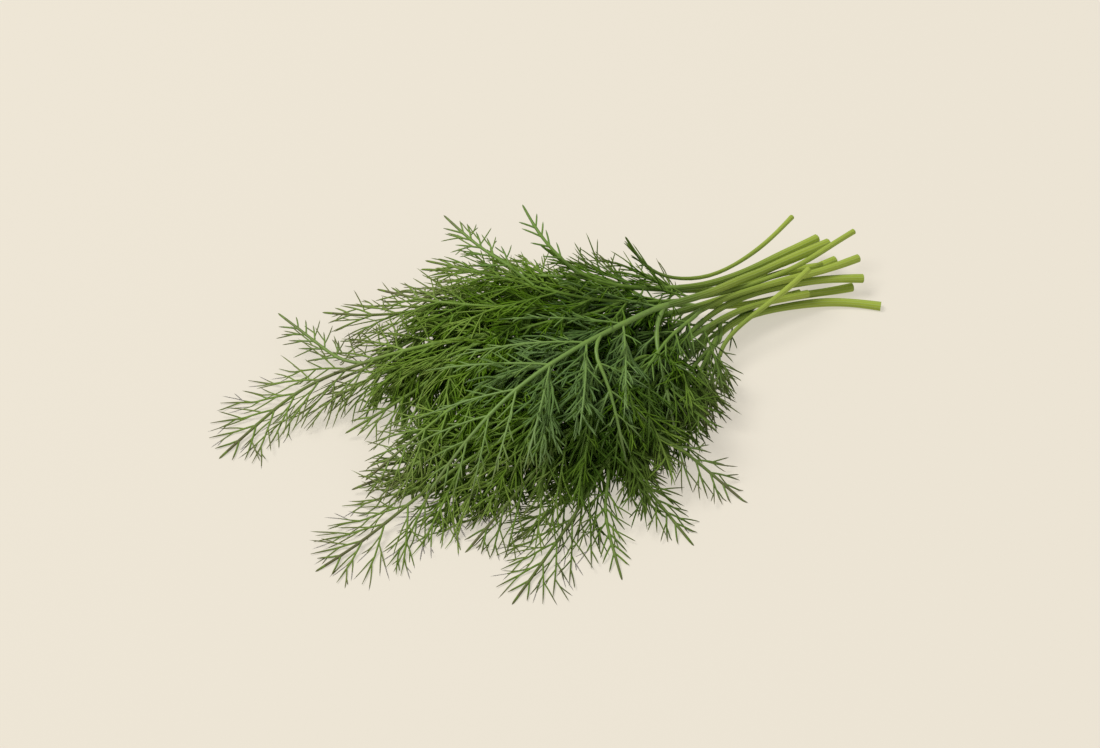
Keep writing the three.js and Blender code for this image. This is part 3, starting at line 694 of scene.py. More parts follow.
@dataclass
class Rib:
    """A side rib: it leaves the midrib at an angle, curls forward and droops."""

    joint: Joint
    out: Array
    length: float
    lift: float
    seed: float
    # How light its green is; the lower ribs have less, a painted shade for the inside of the bunch.
    light: float = 1.0

    @property
    def tone(self) -> float:
        """The tone that its threads have in the light."""
        return draw(self.seed, Draw.TONE)

    @property
    def reaches(self) -> Array:
        """The places of its joints.

        Returns:
            Their distances from the midrib, up to its tip.
        """
        neck = min(LEAVES.rib_neck, LEAVES.neck_share * self.length)
        forked = self.length - neck - min(LEAVES.rib_end, LEAVES.end_share * self.length)
        forks = int(math.floor(forked / LEAVES.fork_gap + 0.5))
        stations = neck + forked * (np.arange(forks) + 0.5) / max(forks, 1)
        return np.concatenate(((0, neck), stations, (self.length,)))

    def at(self, reaches: Array) -> Array:
        """Gives the points at some distances from the midrib.

        Args:
            reaches: The distances.

        Returns:
            The points, one a row.
        """
        share = ((reaches / self.length) ** 2 * self.length)[:, None]
        points = self.joint.point + self.out * reaches[:, None]
        points = points + (self.joint.direction * LEAVES.curl + self.joint.normal * self.lift) * share
        points[:, 2] = np.maximum(points[:, 2] - LEAVES.droop * share[:, 0], LEAVES.floor)
        return points


@dataclass
class LeafPlan:
    """A leaf's midrib, its joints and the side ribs that lie clear."""

    # How far apart the seeds of leaves and of a joint's two sides are, and the keys of leaves.
    SEEDS = 10
    SIDE_SEED = 0.25
    KEYS = 100

    number: int
    row: StalkRow | SideRow
    path: Path
    radii: Array
    first_joint: float
    root: Array | None = None
    joints: list[Joint] = field(default_factory=list)
    ribs: list[Rib] = field(default_factory=list)

    def rest(self, joint: Joint) -> float:
        """Gives how much of the midrib is left beyond a joint."""
        return self.path.length - joint.distance

    def plan_joints(self) -> None:
        """Puts joints along the midrib, closer together towards its tip."""
        ribbed = self.path.length - LEAVES.top_shy - self.first_joint
        reaches = [0.0]
        while reaches[-1] < ribbed:
            gap = between(LEAVES.pair_gaps, reaches[-1] / ribbed)
            reaches.append(reaches[-1] + gap * self.row.reach + LEAVES.least_pair_gap)
        for reach in reaches:
            distance = self.first_joint + ribbed * reach / reaches[-1]
            point, direction = self.path.point(distance), self.path.direction(distance)
            normal = square_to(direction, MOUND.lean(point))
            self.joints.append(Joint(distance, point, direction, normal))

    def plan_ribs(self, clearance: Clearance) -> None:
        """Grows a rib on each side of each joint, in the first way that lies clear.

        Args:
            clearance: The pieces that stand, to which the ribs are added.
        """
        for k, joint in enumerate(self.joints):
            for side in (1, -1):
                rib = self._plan_rib(joint, k, side, clearance)
                if rib is not None:
                    self.ribs.append(rib)

    def _plan_rib(self, joint: Joint, k: int, side: int, clearance: Clearance) -> Rib | None:
        """Finds one rib's way.

        Args:
            joint: The joint that it stands on.
            k: The joint's number along the midrib.
            side: 1 or -1, for the side of the midrib.
            clearance: The pieces that stand, to which the rib is added.

        Returns:
            The rib, or None where no way is clear.
        """
        seed = self.SEEDS * (self.number + 1) + k + side * self.SIDE_SEED
        angle = between(LEAVES.rib_angles, joint.distance / self.path.length)
        angle += jitter(seed, Draw.ANGLE, LEAVES.angle_stray)
        length = self.row.reach * math.tanh(LEAVES.slope * self.rest(joint) / self.row.reach)
        length *= 1 + jitter(seed, Draw.LENGTH, LEAVES.length_stray)
        stray = jitter(seed, Draw.LIFT, LEAVES.lift_stray)
        across = np.cross(joint.direction, joint.normal) * side
        radius, key = LEAVES.rib_clear, self.KEYS * self.number + k
        for swing, lift, size in RIB_WAYS:
            turned = angle + swing
            out = joint.direction * math.cos(turned) + across * math.sin(turned)
            reach = max(length * size, LEAVES.shortest)
            rib = Rib(joint, out, reach, lift + stray, seed)
            points = rib.at(rib.reaches)
            if clearance.is_free(points, radius, self.number, key):
                clearance.add(points, np.full(len(points) - 1, radius), -1, key)
                return rib
        return None


def plan_bunch() -> tuple[list[Strand], list[LeafPlan]]:
    """Settles all centre lines and plans every leaf.

    Returns:
        The stalks' lines, and the leaves with their ribs.
    """
    stalks = [stalk_strand(row) for row in STALK_ROWS]
    Settling(stalks, []).run()
    sides = [side_strand(row, stalks) for row in SIDE_ROWS]
    Settling(sides, stalks).run()
    leaves = []
    for strand in stalks:
        whole, row = Path(strand.points), strand.row
        after = whole.reached > row.bare + LEAVES.top_clear
        points = np.vstack((whole.point(row.bare), strand.points[after]))
        path = Path(points)
        radii = line_radius(row, whole.length, row.bare + path.reached)
        leaves.append(LeafPlan(len(leaves), row, path, radii, LEAVES.top_first))
    for strand in sides:
        path = Path(strand.points)
        base = strand.radii[0]
        radii = base + (LEAVES.midrib_tip - base) * path.reached / path.length
        first = path.length * LEAVES.side_bare_share
        leaves.append(LeafPlan(len(leaves), strand.row, path, radii, first, strand.root))
    clearance = Clearance()
    for number, strand in enumerate(stalks + sides):
        clearance.add(strand.points, strand.radii[:-1], number, -1)
    for leaf in leaves:
        leaf.plan_joints()
        leaf.plan_ribs(clearance)
    return stalks, leaves


# ---- Skins ----


class Paint(Enum):
    """The values that a skin carries at each vertex for its finish to read."""

    TONE = "tone"
    PALE = "pale"
    STREAK = "streak"
    BLOOM = "bloom"
    TIP = "tip"
    PITH = "pith"


class Skin:
    """The triangles of one piece, gathered from tubes and threads."""

    def __init__(self) -> None:
        """Starts an empty skin."""
        self.points: list[Array] = []
        self.faces: list[Array] = []
        self.paints: dict[Paint, list[Array]] = {paint: [] for paint in Paint}
        self.count = 0

    def add(self, points: Array, faces: Array, **paints: Array) -> None:
        """Adds vertices and triangles.

        Args:
            points: The vertices, one a row.
            faces: Triangles as rows of vertex numbers that start at 0.
            **paints: One value a vertex for any of the paints, by its name.
        """
        self.points.append(points)
        self.faces.append(faces + self.count)
        for paint in Paint:
            values = paints.get(paint.value, 0.0)
            self.paints[paint].append(np.broadcast_to(np.asarray(values, float), (len(points),)))
        self.count += len(points)

    def mesh(self, name: str) -> Piece:
        """Makes the piece, in metres.

        Args:
            name: The name of the piece.

        Returns:
            Its object, linked to the scene.
        """
        points = np.vstack(self.points)
        points[:, 2] = np.maximum(points[:, 2], 0.0)
        # The tone gets painted light: lighter towards the far left and the back, and lighter at the
        # mound's edge.
        self.paints[Paint.TONE] = [np.concatenate(self.paints[Paint.TONE]) + MOUND.youth(points)]
        # Threads dry at the mound's edge only: a little all along, and wholly at their tips.
        dry = MOUND.edge_dryness + (1 - MOUND.edge_dryness) * np.concatenate(self.paints[Paint.TIP])
        self.paints[Paint.TIP] = [dry * MOUND.edge(points)]
        faces = np.vstack(self.faces).astype(np.int32)
        mesh = bpy.data.meshes.new(name)
        mesh.vertices.add(len(points))
        mesh.vertices.foreach_set("co", (points * MM).astype(np.float32).ravel())
        mesh.loops.add(faces.size)
        mesh.loops.foreach_set("vertex_index", faces.ravel())
        mesh.polygons.add(len(faces))
        mesh.polygons.foreach_set("loop_start", np.arange(0, faces.size, 3, dtype=np.int32))
        mesh.polygons.foreach_set("use_smooth", np.ones(len(faces), bool))
        for paint, values in self.paints.items():
            layer = mesh.attributes.new(paint.value, "FLOAT", "POINT")
            layer.data.foreach_set("value", np.concatenate(values).astype(np.float32))
        mesh.update(calc_edges=True)
        made = bpy.data.objects.new(name, mesh)
        bpy.context.collection.objects.link(made)
        return made


def ring_angles(sides: int) -> Array:
    """Gives the angles of a ring's corners."""
    return 2 * math.pi * np.arange(sides) / sides


def tube_faces(rings: int, sides: int, pointed: bool) -> Array:
    """Lists the triangles between the rings of one tube.

    Args:
        rings: How many rings the tube has.
        sides: How many corners each ring has.
        pointed: Whether one more vertex closes the last ring.

    Returns:
        Rows of vertex numbers.
    """
    here = np.arange(sides)
    after = (here + 1) % sides
    bands = []
    for k in range(rings - 1):
        low, high = k * sides, (k + 1) * sides
        bands.append(np.stack((low + here, low + after, high + after), 1))
        bands.append(np.stack((low + here, high + after, high + here), 1))
    if pointed:
        last = (rings - 1) * sides
        bands.append(np.stack((last + here, last + after, np.full(sides, rings * sides)), 1))
    return np.vstack(bands)


@dataclass(frozen=True)
class Thread:
    """How threads are made: their sides, where along them their rings are, and their paints."""

    sides: int
    shares: tuple[float, ...]
    pale: float
    bloom: float
    tip: float
    taper: float = 0.45
    dry_slope: float = 1.7
    dry_from: float = 0.25


@dataclass
class Shoots:
    """Curved shoots that taper to a point: where they start, their way, their bend and their size."""

    start: Array
    way: Array
    normal: Array
    bend: Array
    length: Array
    radius: Array
    tone: Array
    loose: Array

    @classmethod
    def joined(cls, batches: list["Shoots"]) -> "Shoots":
        """Joins batches of shoots.

        Args:
            batches: The batches, in order.

        Returns:
            All of their shoots, or none where there is no batch.
        """
        every = (cls(*np.zeros((4, 0, 3)), *np.zeros((4, 0))), *batches)
        names = [part.name for part in fields(cls)]
        return cls(*(np.concatenate([getattr(one, name) for one in every]) for name in names))

    def __len__(self) -> int:
        """Gives the number of shoots."""
        return len(self.length)

    def at(self, share: Array) -> Array:
        """Gives a point of each shoot at a share of its length."""
        far = (share * self.length)[:, None]
        return self.start + self.way * far + self.bend * far * share[:, None]

    def heading(self, share: Array) -> Array:
        """Gives the way that each shoot goes at a share of its length."""
        return unit(self.way + 2 * self.bend * share[:, None])

    def add_to(self, skin: Skin, thread: Thread, bloom: float) -> None:
        """Adds the shoots to a skin as tapered tubes with a point.

        Args:
            skin: The skin that gets them.
            thread: How they are made.
            bloom: How pale and blue their leaf is.
        """
        if not len(self):
            return
        n, sides, shares = len(self), thread.sides, np.array(thread.shares)
        angles = ring_angles(sides)
        rings = []
        for share in shares:
            along = np.full(n, share)
            heading = self.heading(along)
            top = square_to(heading, self.normal)
            right = np.cross(heading, top)
            radius = (self.radius * (1 - thread.taper * share**2))[:, None, None]
            turned = top[:, None] * np.cos(angles)[:, None] + right[:, None] * np.sin(angles)[:, None]
            rings.append(self.at(along)[:, None] + turned * radius)
        points = np.concatenate((*rings, self.at(np.ones(n))[:, None]), axis=1)
        size = len(shares) * sides + 1
        faces = tube_faces(len(shares), sides, pointed=True)
        faces = (faces[None] + (np.arange(n) * size)[:, None, None]).reshape(-1, 3)
        fade = np.concatenate((np.repeat(thread.pale * (1 - shares) ** 2, sides), (0.0,)))
        dry = np.clip(thread.dry_slope * shares - thread.dry_from, 0, 1)
        brown = np.concatenate((np.repeat(dry, sides), (1.0,)))
        skin.add(
            points.reshape(-1, 3), faces, tone=np.repeat(self.tone, size),
            pale=np.tile(fade, n), bloom=thread.bloom * bloom,
            tip=(brown * (thread.tip * self.loose)[:, None]).ravel(),
        )


def add_tube(
    skin: Skin, centres: Array, radii: Array, normals: Array, sides: int,
    ridges: tuple[int, float] = (0, 0.0), **paints: Array,
) -> None:
    """Adds one smooth tube.

    Args:
        skin: The skin that gets it.
        centres: Its centre line.
        radii: Its radius at each point of the line.
        normals: The way its top faces at each point.
        sides: How many sides it has.
        ridges: How many lengthwise ridges it has and how far they stand out, as a share.
        **paints: One value a ring for any of the paints.
    """
    headings = unit(np.gradient(centres, axis=0))
    top = square_to(headings, normals)
    right = np.cross(headings, top)
    angles = ring_angles(sides)
    wave = np.cos(ridges[0] * angles)
    reach = radii[:, None] * (1 + ridges[1] * wave)
    points = (
        centres[:, None]
        + top[:, None] * (reach * np.cos(angles))[..., None]
        + right[:, None] * (reach * np.sin(angles))[..., None]
    )
    values = {name: np.repeat(value, sides) for name, value in paints.items()}
    if ridges[0]:
        values[Paint.STREAK.value] = np.tile(0.5 + 0.5 * wave, len(centres))
    skin.add(points.reshape(-1, 3), tube_faces(len(centres), sides, pointed=False), **values)


# ---- Finishes ----


class Wire:
    """A socket that takes part in expressions, each of which adds Math nodes."""

    def __init__(self, board: "Board", socket: Any) -> None:
        """Holds a socket and the board that it is on."""
        self.board = board
        self.socket = socket

    def __add__(self, other: Any) -> "Wire":
        """Adds."""
        return self.board.math("ADD", self, other)

    def __radd__(self, other: Any) -> "Wire":
        """Adds to a number."""
        return self.board.math("ADD", other, self)

    def __sub__(self, other: Any) -> "Wire":
        """Subtracts."""
        return self.board.math("SUBTRACT", self, other)

    def __rsub__(self, other: Any) -> "Wire":
        """Subtracts from a number."""
        return self.board.math("SUBTRACT", other, self)

    def __mul__(self, other: Any) -> "Wire":
        """Multiplies."""
        return self.board.math("MULTIPLY", self, other)

    def __rmul__(self, other: Any) -> "Wire":
        """Multiplies a number."""
        return self.board.math("MULTIPLY", other, self)

    def __pow__(self, other: Any) -> "Wire":
        """Raises to a power."""
        return self.board.math("POWER", self, other)

    def __rpow__(self, other: Any) -> "Wire":
        """Raises a number to it."""
        return self.board.math("POWER", other, self)


class Board:
    """The node board of one material."""

    def __init__(self, name: str) -> None:
        """Makes a material with an empty board.

        Args:
            name: The material's name.
        """
        self.material = bpy.data.materials.new(name)
        self.material.use_nodes = True
        self.tree = self.material.node_tree
        self.tree.nodes.clear()

    def node(self, kind: str, settings: dict[str, Any] | None = None, **inputs: Any) -> Any:
        """Adds a node.

        Args:
            kind: The node's type.
            settings: What is set on the node before its sockets.
            **inputs: Values or wires for its sockets, by name with underscores for spaces, or by
                number after a leading letter n.

        Returns:
            The node.
        """
        node = self.tree.nodes.new(kind)
        for name, value in (settings or {}).items():
            setattr(node, name, value)
        for name, value in inputs.items():
            numbered = name[0] == "n" and name[1:].isdigit()
            socket = node.inputs[int(name[1:]) if numbered else name.replace("_", " ")]
            if isinstance(value, Wire):
                self.tree.links.new(value.socket, socket)
            else:
                socket.default_value = value
        return node

    def wire(self, node: Any, output: str | int = 0) -> Wire:
        """Takes an output of a node as a wire."""
        return Wire(self, node.outputs[output])

    def math(self, operation: str, first: Any, second: Any) -> Wire:
        """Adds a Math node on two values and gives its result."""
        return self.wire(self.node("ShaderNodeMath", {"operation": operation}, n0=first, n1=second))

    def clamp(self, value: Wire) -> Wire:
        """Keeps a value between 0 and 1."""
        return self.wire(self.node("ShaderNodeClamp", Value=value))

    def paint(self, paint: Paint) -> Wire:
        """Reads one of the values that the skin carries."""
        node = self.node("ShaderNodeAttribute", {"attribute_name": paint.value})
        return self.wire(node, "Fac")

    def mix(self, factor: Any, first: Any, second: Any) -> Wire:
        """Mixes two colours.

        Args:
            factor: How much of the second colour there is.
            first: A colour or a wire.
            second: A colour or a wire.

        Returns:
            The mixed colour.
        """
        colours = [value if isinstance(value, Wire) else (*value, 1.0) for value in (first, second)]
        node = self.node(
            "ShaderNodeMix", {"data_type": "RGBA"}, n0=factor, n6=colours[0], n7=colours[1]
        )
        return self.wire(node, 2)

    def noise(self, scale: float, detail: float = 3.0) -> Wire:
        """Gives even noise over the object.

        Args:
            scale: How many patches of it there are in a metre.
            detail: How much finer noise it holds.

        Returns:
            The noise, from 0 to 1.
        """
        place = self.wire(self.node("ShaderNodeTexCoord"), "Object")
        node = self.node("ShaderNodeTexNoise", Vector=place, Scale=scale, Detail=detail)
        return self.wire(node, 0)

    def bump(self, height: Wire, distance: float, strength: float) -> Wire:
        """Turns a height into a bumped normal."""
        node = self.node("ShaderNodeBump", Height=height, Distance=distance, Strength=strength)
        return self.wire(node)

    def surface(self, **inputs: Any) -> Material:
        """Ends the board with a Principled surface.

        Args:
            **inputs: Values or wires for its sockets.

        Returns:
            The finished material.
        """
        shader = self.wire(self.node("ShaderNodeBsdfPrincipled", **inputs))
        self.node("ShaderNodeOutputMaterial", Surface=shader)
        return self.material


@dataclass(frozen=True)
class StalkFinish:
    """Fresh stalk skin: light green, with lengthwise lines and a pale cut."""

    deep: Colour = (0.058, 0.138, 0.010)
    light: Colour = (0.350, 0.445, 0.052)
    line: Colour = (0.450, 0.550, 0.220)
    pith: Colour = (0.640, 0.700, 0.400)
    patch_scale: float = 55.0
    patch_share: float = 0.5
    tone_share: float = 0.75
    light_from: float = 0.12
    line_power: float = 3.0
    line_share: float = 0.45
    fine_scale: float = 900.0
    fine_height: float = 0.0002
    fine_strength: float = 0.35
    roughness: float = 0.42
    fine_roughness: float = 0.25
    pith_roughness: float = 0.2
    shine: float = 0.2

    def colour(self, board: Board) -> Wire:
        """Gives the colour of the skin.

        Args:
            board: The board that its nodes go on.

        Returns:
            The colour, without the cut's.
        """
        patches = board.noise(self.patch_scale)
        # Lighter where the tone is high: at the cut end, and darker towards the leaves.
        stalk_lightness = board.clamp(
            self.patch_share * patches + self.tone_share * board.paint(Paint.TONE) - self.light_from
        )
        flesh = board.mix(stalk_lightness, self.deep, self.light)
        lines = board.paint(Paint.STREAK) ** self.line_power * self.line_share
        return board.mix(lines, flesh, self.line)

    def material(self) -> Material:
        """Makes the material.

        Returns:
            The stalks' material.
        """
        board = Board("stalk_skin")
        pith = board.paint(Paint.PITH)
        fine = board.noise(self.fine_scale)
        colour = board.mix(pith, self.colour(board), self.pith)
        return board.surface(
            Base_Color=colour,
            Roughness=self.roughness + self.fine_roughness * fine + self.pith_roughness * pith,
            Normal=board.bump(fine, self.fine_height, self.fine_strength),
            Specular_IOR_Level=self.shine,
        )


@dataclass(frozen=True)
class LeafFinish:
    """Feathery leaf: green threads of many tones, a pale blue-green that is partly a glaucous coat
    and partly a painted sheen, painted light on the highest tones, and lighter ribs.
    """

    shade: Colour = (0.010, 0.050, 0.001)
    sun: Colour = (0.125, 0.245, 0.006)
    # The lighter green that the highest tones turn to, a painted light; those tones come mostly from
    # the painted light towards the far left and the back.
    young: Colour = (0.270, 0.360, 0.090)
    # The pale blue-green of the glaucous coat, which also stands for a painted sheen on the front
    # leaves.
    bloom: Colour = (0.200, 0.320, 0.125)
    rib: Colour = (0.205, 0.335, 0.062)
    brown: Colour = (0.135, 0.118, 0.066)
    patch_scale: float = 38.0
    fine_scale: float = 1200.0
    detail: float = 2.0
    tone_share: float = 0.62
    patch_share: float = 0.5
    sun_from: float = 0.12
    young_from: float = 0.95
    young_share: float = 0.75
    wax_patches: float = 0.8
    wax_from: float = 0.5
    wax_share: float = 0.75
    dry_patches: float = 3.0
    dry_from: float = 0.5
    dry_share: float = 0.85
    fine_height: float = 0.0001
    fine_strength: float = 0.25
    roughness: float = 0.55
    fine_roughness: float = 0.2
    wax_coat: float = 0.5
    rib_coat: float = 0.3
    coat_roughness: float = 0.4
    shine: float = 0.06

    def material(self) -> Material:
        """Makes the material.

        Returns:
            The leaves' material.
        """
        board = Board("leaf_threads")
        tone, pale = board.paint(Paint.TONE), board.paint(Paint.PALE)
        patches = board.noise(self.patch_scale, self.detail)
        fine = board.noise(self.fine_scale, self.detail)
        sunny = board.clamp(self.tone_share * tone + self.patch_share * patches - self.sun_from)
        green = board.mix(sunny, self.shade, self.sun)
        # Painted light: the highest tones turn to the lighter green.
        green = board.mix(board.clamp(tone - self.young_from) * self.young_share, green, self.young)
        # A glaucous coat and a painted sheen: the front leaves, and patches elsewhere, turn pale
        # blue-green.
        bloom_and_sheen_mask = board.clamp(board.paint(Paint.BLOOM) + patches * self.wax_patches - self.wax_from)
        bloom_and_sheen_amount = bloom_and_sheen_mask * self.wax_share
        bloom_and_sheen_green = board.mix(bloom_and_sheen_amount, green, self.bloom)
        ribbed = board.mix(board.clamp(pale), bloom_and_sheen_green, self.rib)
        dry = board.clamp(board.paint(Paint.TIP) * (patches * self.dry_patches - self.dry_from))
        colour = board.mix(dry * self.dry_share, ribbed, self.brown)
        return board.surface(
            Base_Color=colour,
            Roughness=self.roughness + self.fine_roughness * fine,
            Normal=board.bump(fine, self.fine_height, self.fine_strength),
            Coat_Weight=board.clamp(bloom_and_sheen_amount * self.wax_coat + pale * self.rib_coat),
            Coat_Roughness=self.coat_roughness,
            Specular_IOR_Level=self.shine,
        )


@dataclass(frozen=True)
class TableFinish:
    """A plain pale table top, lit softly from below as well."""

    colour: Colour = (0.845, 0.785, 0.675)
    glow: float = 0.62
    grain_scale: float = 3.0
    grain_share: float = 0.06
    grain_shade: float = 0.97
    roughness: float = 0.9

    def material(self) -> Material:
        """Makes the material.

        Returns:
            The table's material.
        """
        board = Board("pale_table")
        grain = board.noise(self.grain_scale)
        lit = tuple((1 - self.glow) * part for part in self.colour)
        grained = tuple(self.grain_shade * part for part in lit)
        return board.surface(
            Base_Color=board.mix(grain * self.grain_share, lit, grained),
            Roughness=self.roughness, Specular_IOR_Level=0.0,
            Emission_Color=(*self.colour, 1.0), Emission_Strength=self.glow,
        )


# ---- Pieces ----


@dataclass(frozen=True)
class Stalk:
    """A bare cut stalk, ridged along its length, with a hollow pale cut end."""

    strand: Strand
    sides: int = 40
    ring_step: float = 2.0
    ridges: tuple[int, float] = (10, 0.035)
    swell: float = 0.04
    swell_rate: float = 0.21
    swell_turn: float = 9.0
    foot_tone: float = 1.1
    tone_loss: float = 1.3
    tone_stray: float = 0.2

    # For each ring of the cut: its share of the radius, its depth and how pale its pith is.
    cut_rings: tuple[Triple, ...] = (
        (0.02, 0.5, 0.75), (0.468, 0.4, 0.85), (0.78, 0.1, 1.0), (0.94, 0.0, 0.8), (1.0, 0.12, 0.2),
    )

    @property
    def node(self) -> str:
        """The solid that the stalk stands for."""
        return f"stalk_{self.strand.row.name}"

    def build(self, material: Material) -> Piece:
        """Makes the stalk.

        Args:
            material: Its finish.

        Returns:
            The piece.
        """
        skin = Skin()
        path = Path(self.strand.points).smoothed()
        row: StalkRow = self.strand.row
        rings = np.arange(0, row.bare + self.ring_step, self.ring_step)
        distances = np.unique(np.minimum(rings, row.bare))
        centres = path.at(distances)
        swell = 1 + self.swell * np.sin(distances * self.swell_rate + row.radius * self.swell_turn)
        radii = line_radius(row, path.length, distances) * swell
        stray = jitter(row.radius, Draw.STALK_TONE, self.tone_stray)
        self._cut(skin, centres, radii[0])
        # The tone falls from the cut end towards the leaves, so the stalk is darker there.
        add_tube(
            skin, centres, radii, np.tile(UP, (len(centres), 1)), self.sides, self.ridges,
            tone=np.clip(self.foot_tone - self.tone_loss * distances / row.bare + stray, 0, 1),
        )
        return dress(skin.mesh(f"dill_{self.node}"), material, self.node)

    def _cut(self, skin: Skin, centres: Array, radius: float) -> None:
        """Adds the cut face: a rim, and a shallow hollow in the pith.

        Args:
            skin: The stalk's skin.
            centres: The stalk's centre line.
            radius: Its radius at the cut.
        """
        shares, depths, pith = np.array(self.cut_rings).T
        back = unit(centres[0] - centres[1])
        top = square_to(back, UP)
        right = np.cross(back, top)
        angles = ring_angles(self.sides)
        around = top * np.cos(angles)[:, None] - right * np.sin(angles)[:, None]
        rings = centres[0] - back * depths[:, None]
        points = rings[:, None] + around[None] * (radius * shares)[:, None, None]
        faces = tube_faces(len(shares), self.sides, pointed=False)
        skin.add(points.reshape(-1, 3), faces, pith=np.repeat(pith, self.sides))


FINE_LEAVES = ("02", "02b", "02c")
CURLED_LEAVES = ("06d", "02b")
# How pale and blue each leaf is, from its glaucous coat and a painted sheen; the front leaves have
# the most.
BLOOMS_AND_SHEEN = {
    "02": 0.95, "02b": 0.9, "02c": 0.9, "03c": 0.6, "04d": 0.6, "05c": 0.6, "06d": 0.5, "07b": 0.5,
}


@dataclass(frozen=True)
class Leaf:
    """A feathery leaf: a midrib, its side ribs, and forked threads on every side rib."""

    plan: LeafPlan
    seed: int = 900
    least_bloom: float = 0.15

    # The midrib, the knots at its joints and the thread at its end. It dries towards its end by the
    # first of two numbers, less the second, and so does a side rib.
    midrib_sides: int = 12
    midrib_step: float = 1.4
    midrib_ridges: tuple[int, float] = (6, 0.05)
    midrib_tone: float = 0.6
    midrib_pale: float = 0.75
    midrib_pale_loss: float = 0.6
    midrib_dry: Span = (1.8, 0.9)
    midrib_back: float = 0.5
    foot_heading: float = 1.0
    knot_half: float = 1.3
    knot_swell: float = 0.16
    knot_pale: float = 0.3
    end_length: float = 4.0
    end_tone: float = 0.5
    end_thread: Thread = Thread(12, (0.0, 0.4, 0.8), 0.4, 1.0, 0.7)

    # The side ribs. The point at their end has a slope, a least share of the radius and a power.
    rib_sides: int = 6
    rib_radius: float = 0.47
    rib_start: float = 0.3
    rib_step: float = 1.8
    rib_rings: int = 6
    rib_loose_loss: float = 0.2
    rib_taper: float = 0.25
    rib_point: Triple = (5.0, 0.12, 0.6)
    rib_pale: float = 0.6
    rib_pale_fade: float = 0.7
    rib_dry: Span = (2.4, 1.4)

    # How loosely threads stand: by how much of the midrib is left, and at the mound's edge.
    loose_rest: float = 58.0
    loose_fade: float = 26.0
    edge_loose: float = 0.8

    # The lower ribs. The rests are how much of the midrib is left beyond the last of them, on a top
    # leaf and on a side leaf.
    lower_reach: float = 11.0
    lower_rests: Span = (56.0, 20.0)
    lower_edge: float = 0.55
    lower_turns: tuple[float, ...] = (0.4, 0.8, 1.2)
    lower_seed: float = 0.4
    lower_seed_step: float = 0.3
    lower_turn_stray: float = 0.2
    lower_swing: float = 0.35
    lower_share: float = 0.8
    lower_length_stray: float = 0.2
    lower_lift: float = 0.1
    # Their tone and paleness are scaled down by this share, a painted shade for the inside of the
    # bunch.
    lower_light: float = 0.3
    lower_gap: float = 3.3
    lower_thick: float = 1.35

    # The shoots. Gaps are for a tight rib and a loose one, and angles for a rib's foot and its tip.
    # A growth is the least length, what each millimetre of rib beyond adds and the most, and curls
    # are for a plain and a curled leaf.
    shoot_gaps: Span = (4.8, 7.6)
    shoot_round: float = 0.9
    shoot_offset: float = 0.2
    shoot_spot_stray: float = 0.6
    first_shoot: float = 3.2
    shoot_end: float = 5.6
    side_shift: float = 0.42
    side_shift_most: float = 0.5
    heading_half: float = 0.5
    short_share: float = 0.25
    shortest_forked: float = 8.5
    shoot_angles: Span = (0.55, 0.36)
    shoot_stray: float = 0.12
    mound_stray: float = 0.2
    shoot_lift: float = 0.02
    shoot_lift_stray: float = 1.3
    shoot_growth: Triple = (6.2, 0.4, 15.5)
    fine_growth: Triple = (3.6, 0.13, 7.5)
    shoot_past: float = 1.5
    shoot_sizes: Span = (0.78, 1.18)
    curls: Span = (0.2, 0.55)
    curl_most: float = 1.3
    forward: float = 0.14
    shoot_bend: float = 0.1
    shoot_droop: float = 0.05
    loose_tone: float = 0.25
    tone_stray: float = 0.18
    shoot_radius: float = 0.34
    loose_thin: float = 0.16
    shoot_thread: Thread = Thread(5, (0.0, 0.3, 0.6, 0.86), 0.45, 0.75, 0.8)

    # The forks of the shoots.
    fork_places: Span = (3.8, 8.0)
    fork_losses: Span = (0.4, 1.0)
    fork_place_stray: float = 0.7
    fork_shares: Span = (0.05, 0.95)
    fork_angle: float = 0.38
    fork_angle_stray: float = 0.12
    fork_lift: float = 0.2
    fork_least: float = 3.4
    fork_shortest: float = 1.0
    fork_share: float = 0.72
    fork_sizes: Span = (0.8, 1.2)
    fork_tone_stray: float = 0.1
    fork_bend: float = 0.08
    fork_droop: float = 0.04
    fork_thick: float = 0.85
    fork_thread: Thread = Thread(4, (0.0, 0.45, 0.84), 0.1, 0.6, 1.0)

    @property
    def node(self) -> str:
        """The solid that the leaf stands for."""
        return f"leaf_{self.plan.row.name}"

    @property
    def bloom(self) -> float:
        """How pale and blue the leaf is: a glaucous coat, and a painted sheen on the front leaves."""
        return BLOOMS_AND_SHEEN.get(self.plan.row.name, self.least_bloom * draw(self.plan.number, Draw.BLOOM))

    def build(self, material: Material) -> Piece:
        """Makes the leaf.

        Args:
            material: Its finish.

        Returns:
            The piece.
        """
        draws = np.random.default_rng(self.seed + self.plan.number)
        skin = Skin()
        self._midrib(skin)
        ribs = self.plan.ribs + self._lower_ribs()
        for rib in ribs:
            self._rib(skin, rib)
        shoots = Shoots.joined([self._shoots(rib, side, draws) for rib in ribs for side in (1, -1)])
        shoots.add_to(skin, self.shoot_thread, self.bloom)
        for number in range(len(self.fork_places)):
            self._forks(shoots, number, draws).add_to(skin, self.fork_thread, self.bloom)
        return dress(skin.mesh(f"dill_{self.node}"), material, self.node)

    def _loose(self, rib: Rib) -> float:
        """Tells how loosely a rib's threads stand, from 0 in the mound to 1 at its edge and tips."""
        by_rest = (self.loose_rest - self.plan.rest(rib.joint)) / self.loose_fade
        return min(max(by_rest, self.edge_loose * rib.joint.edge), 1.0)

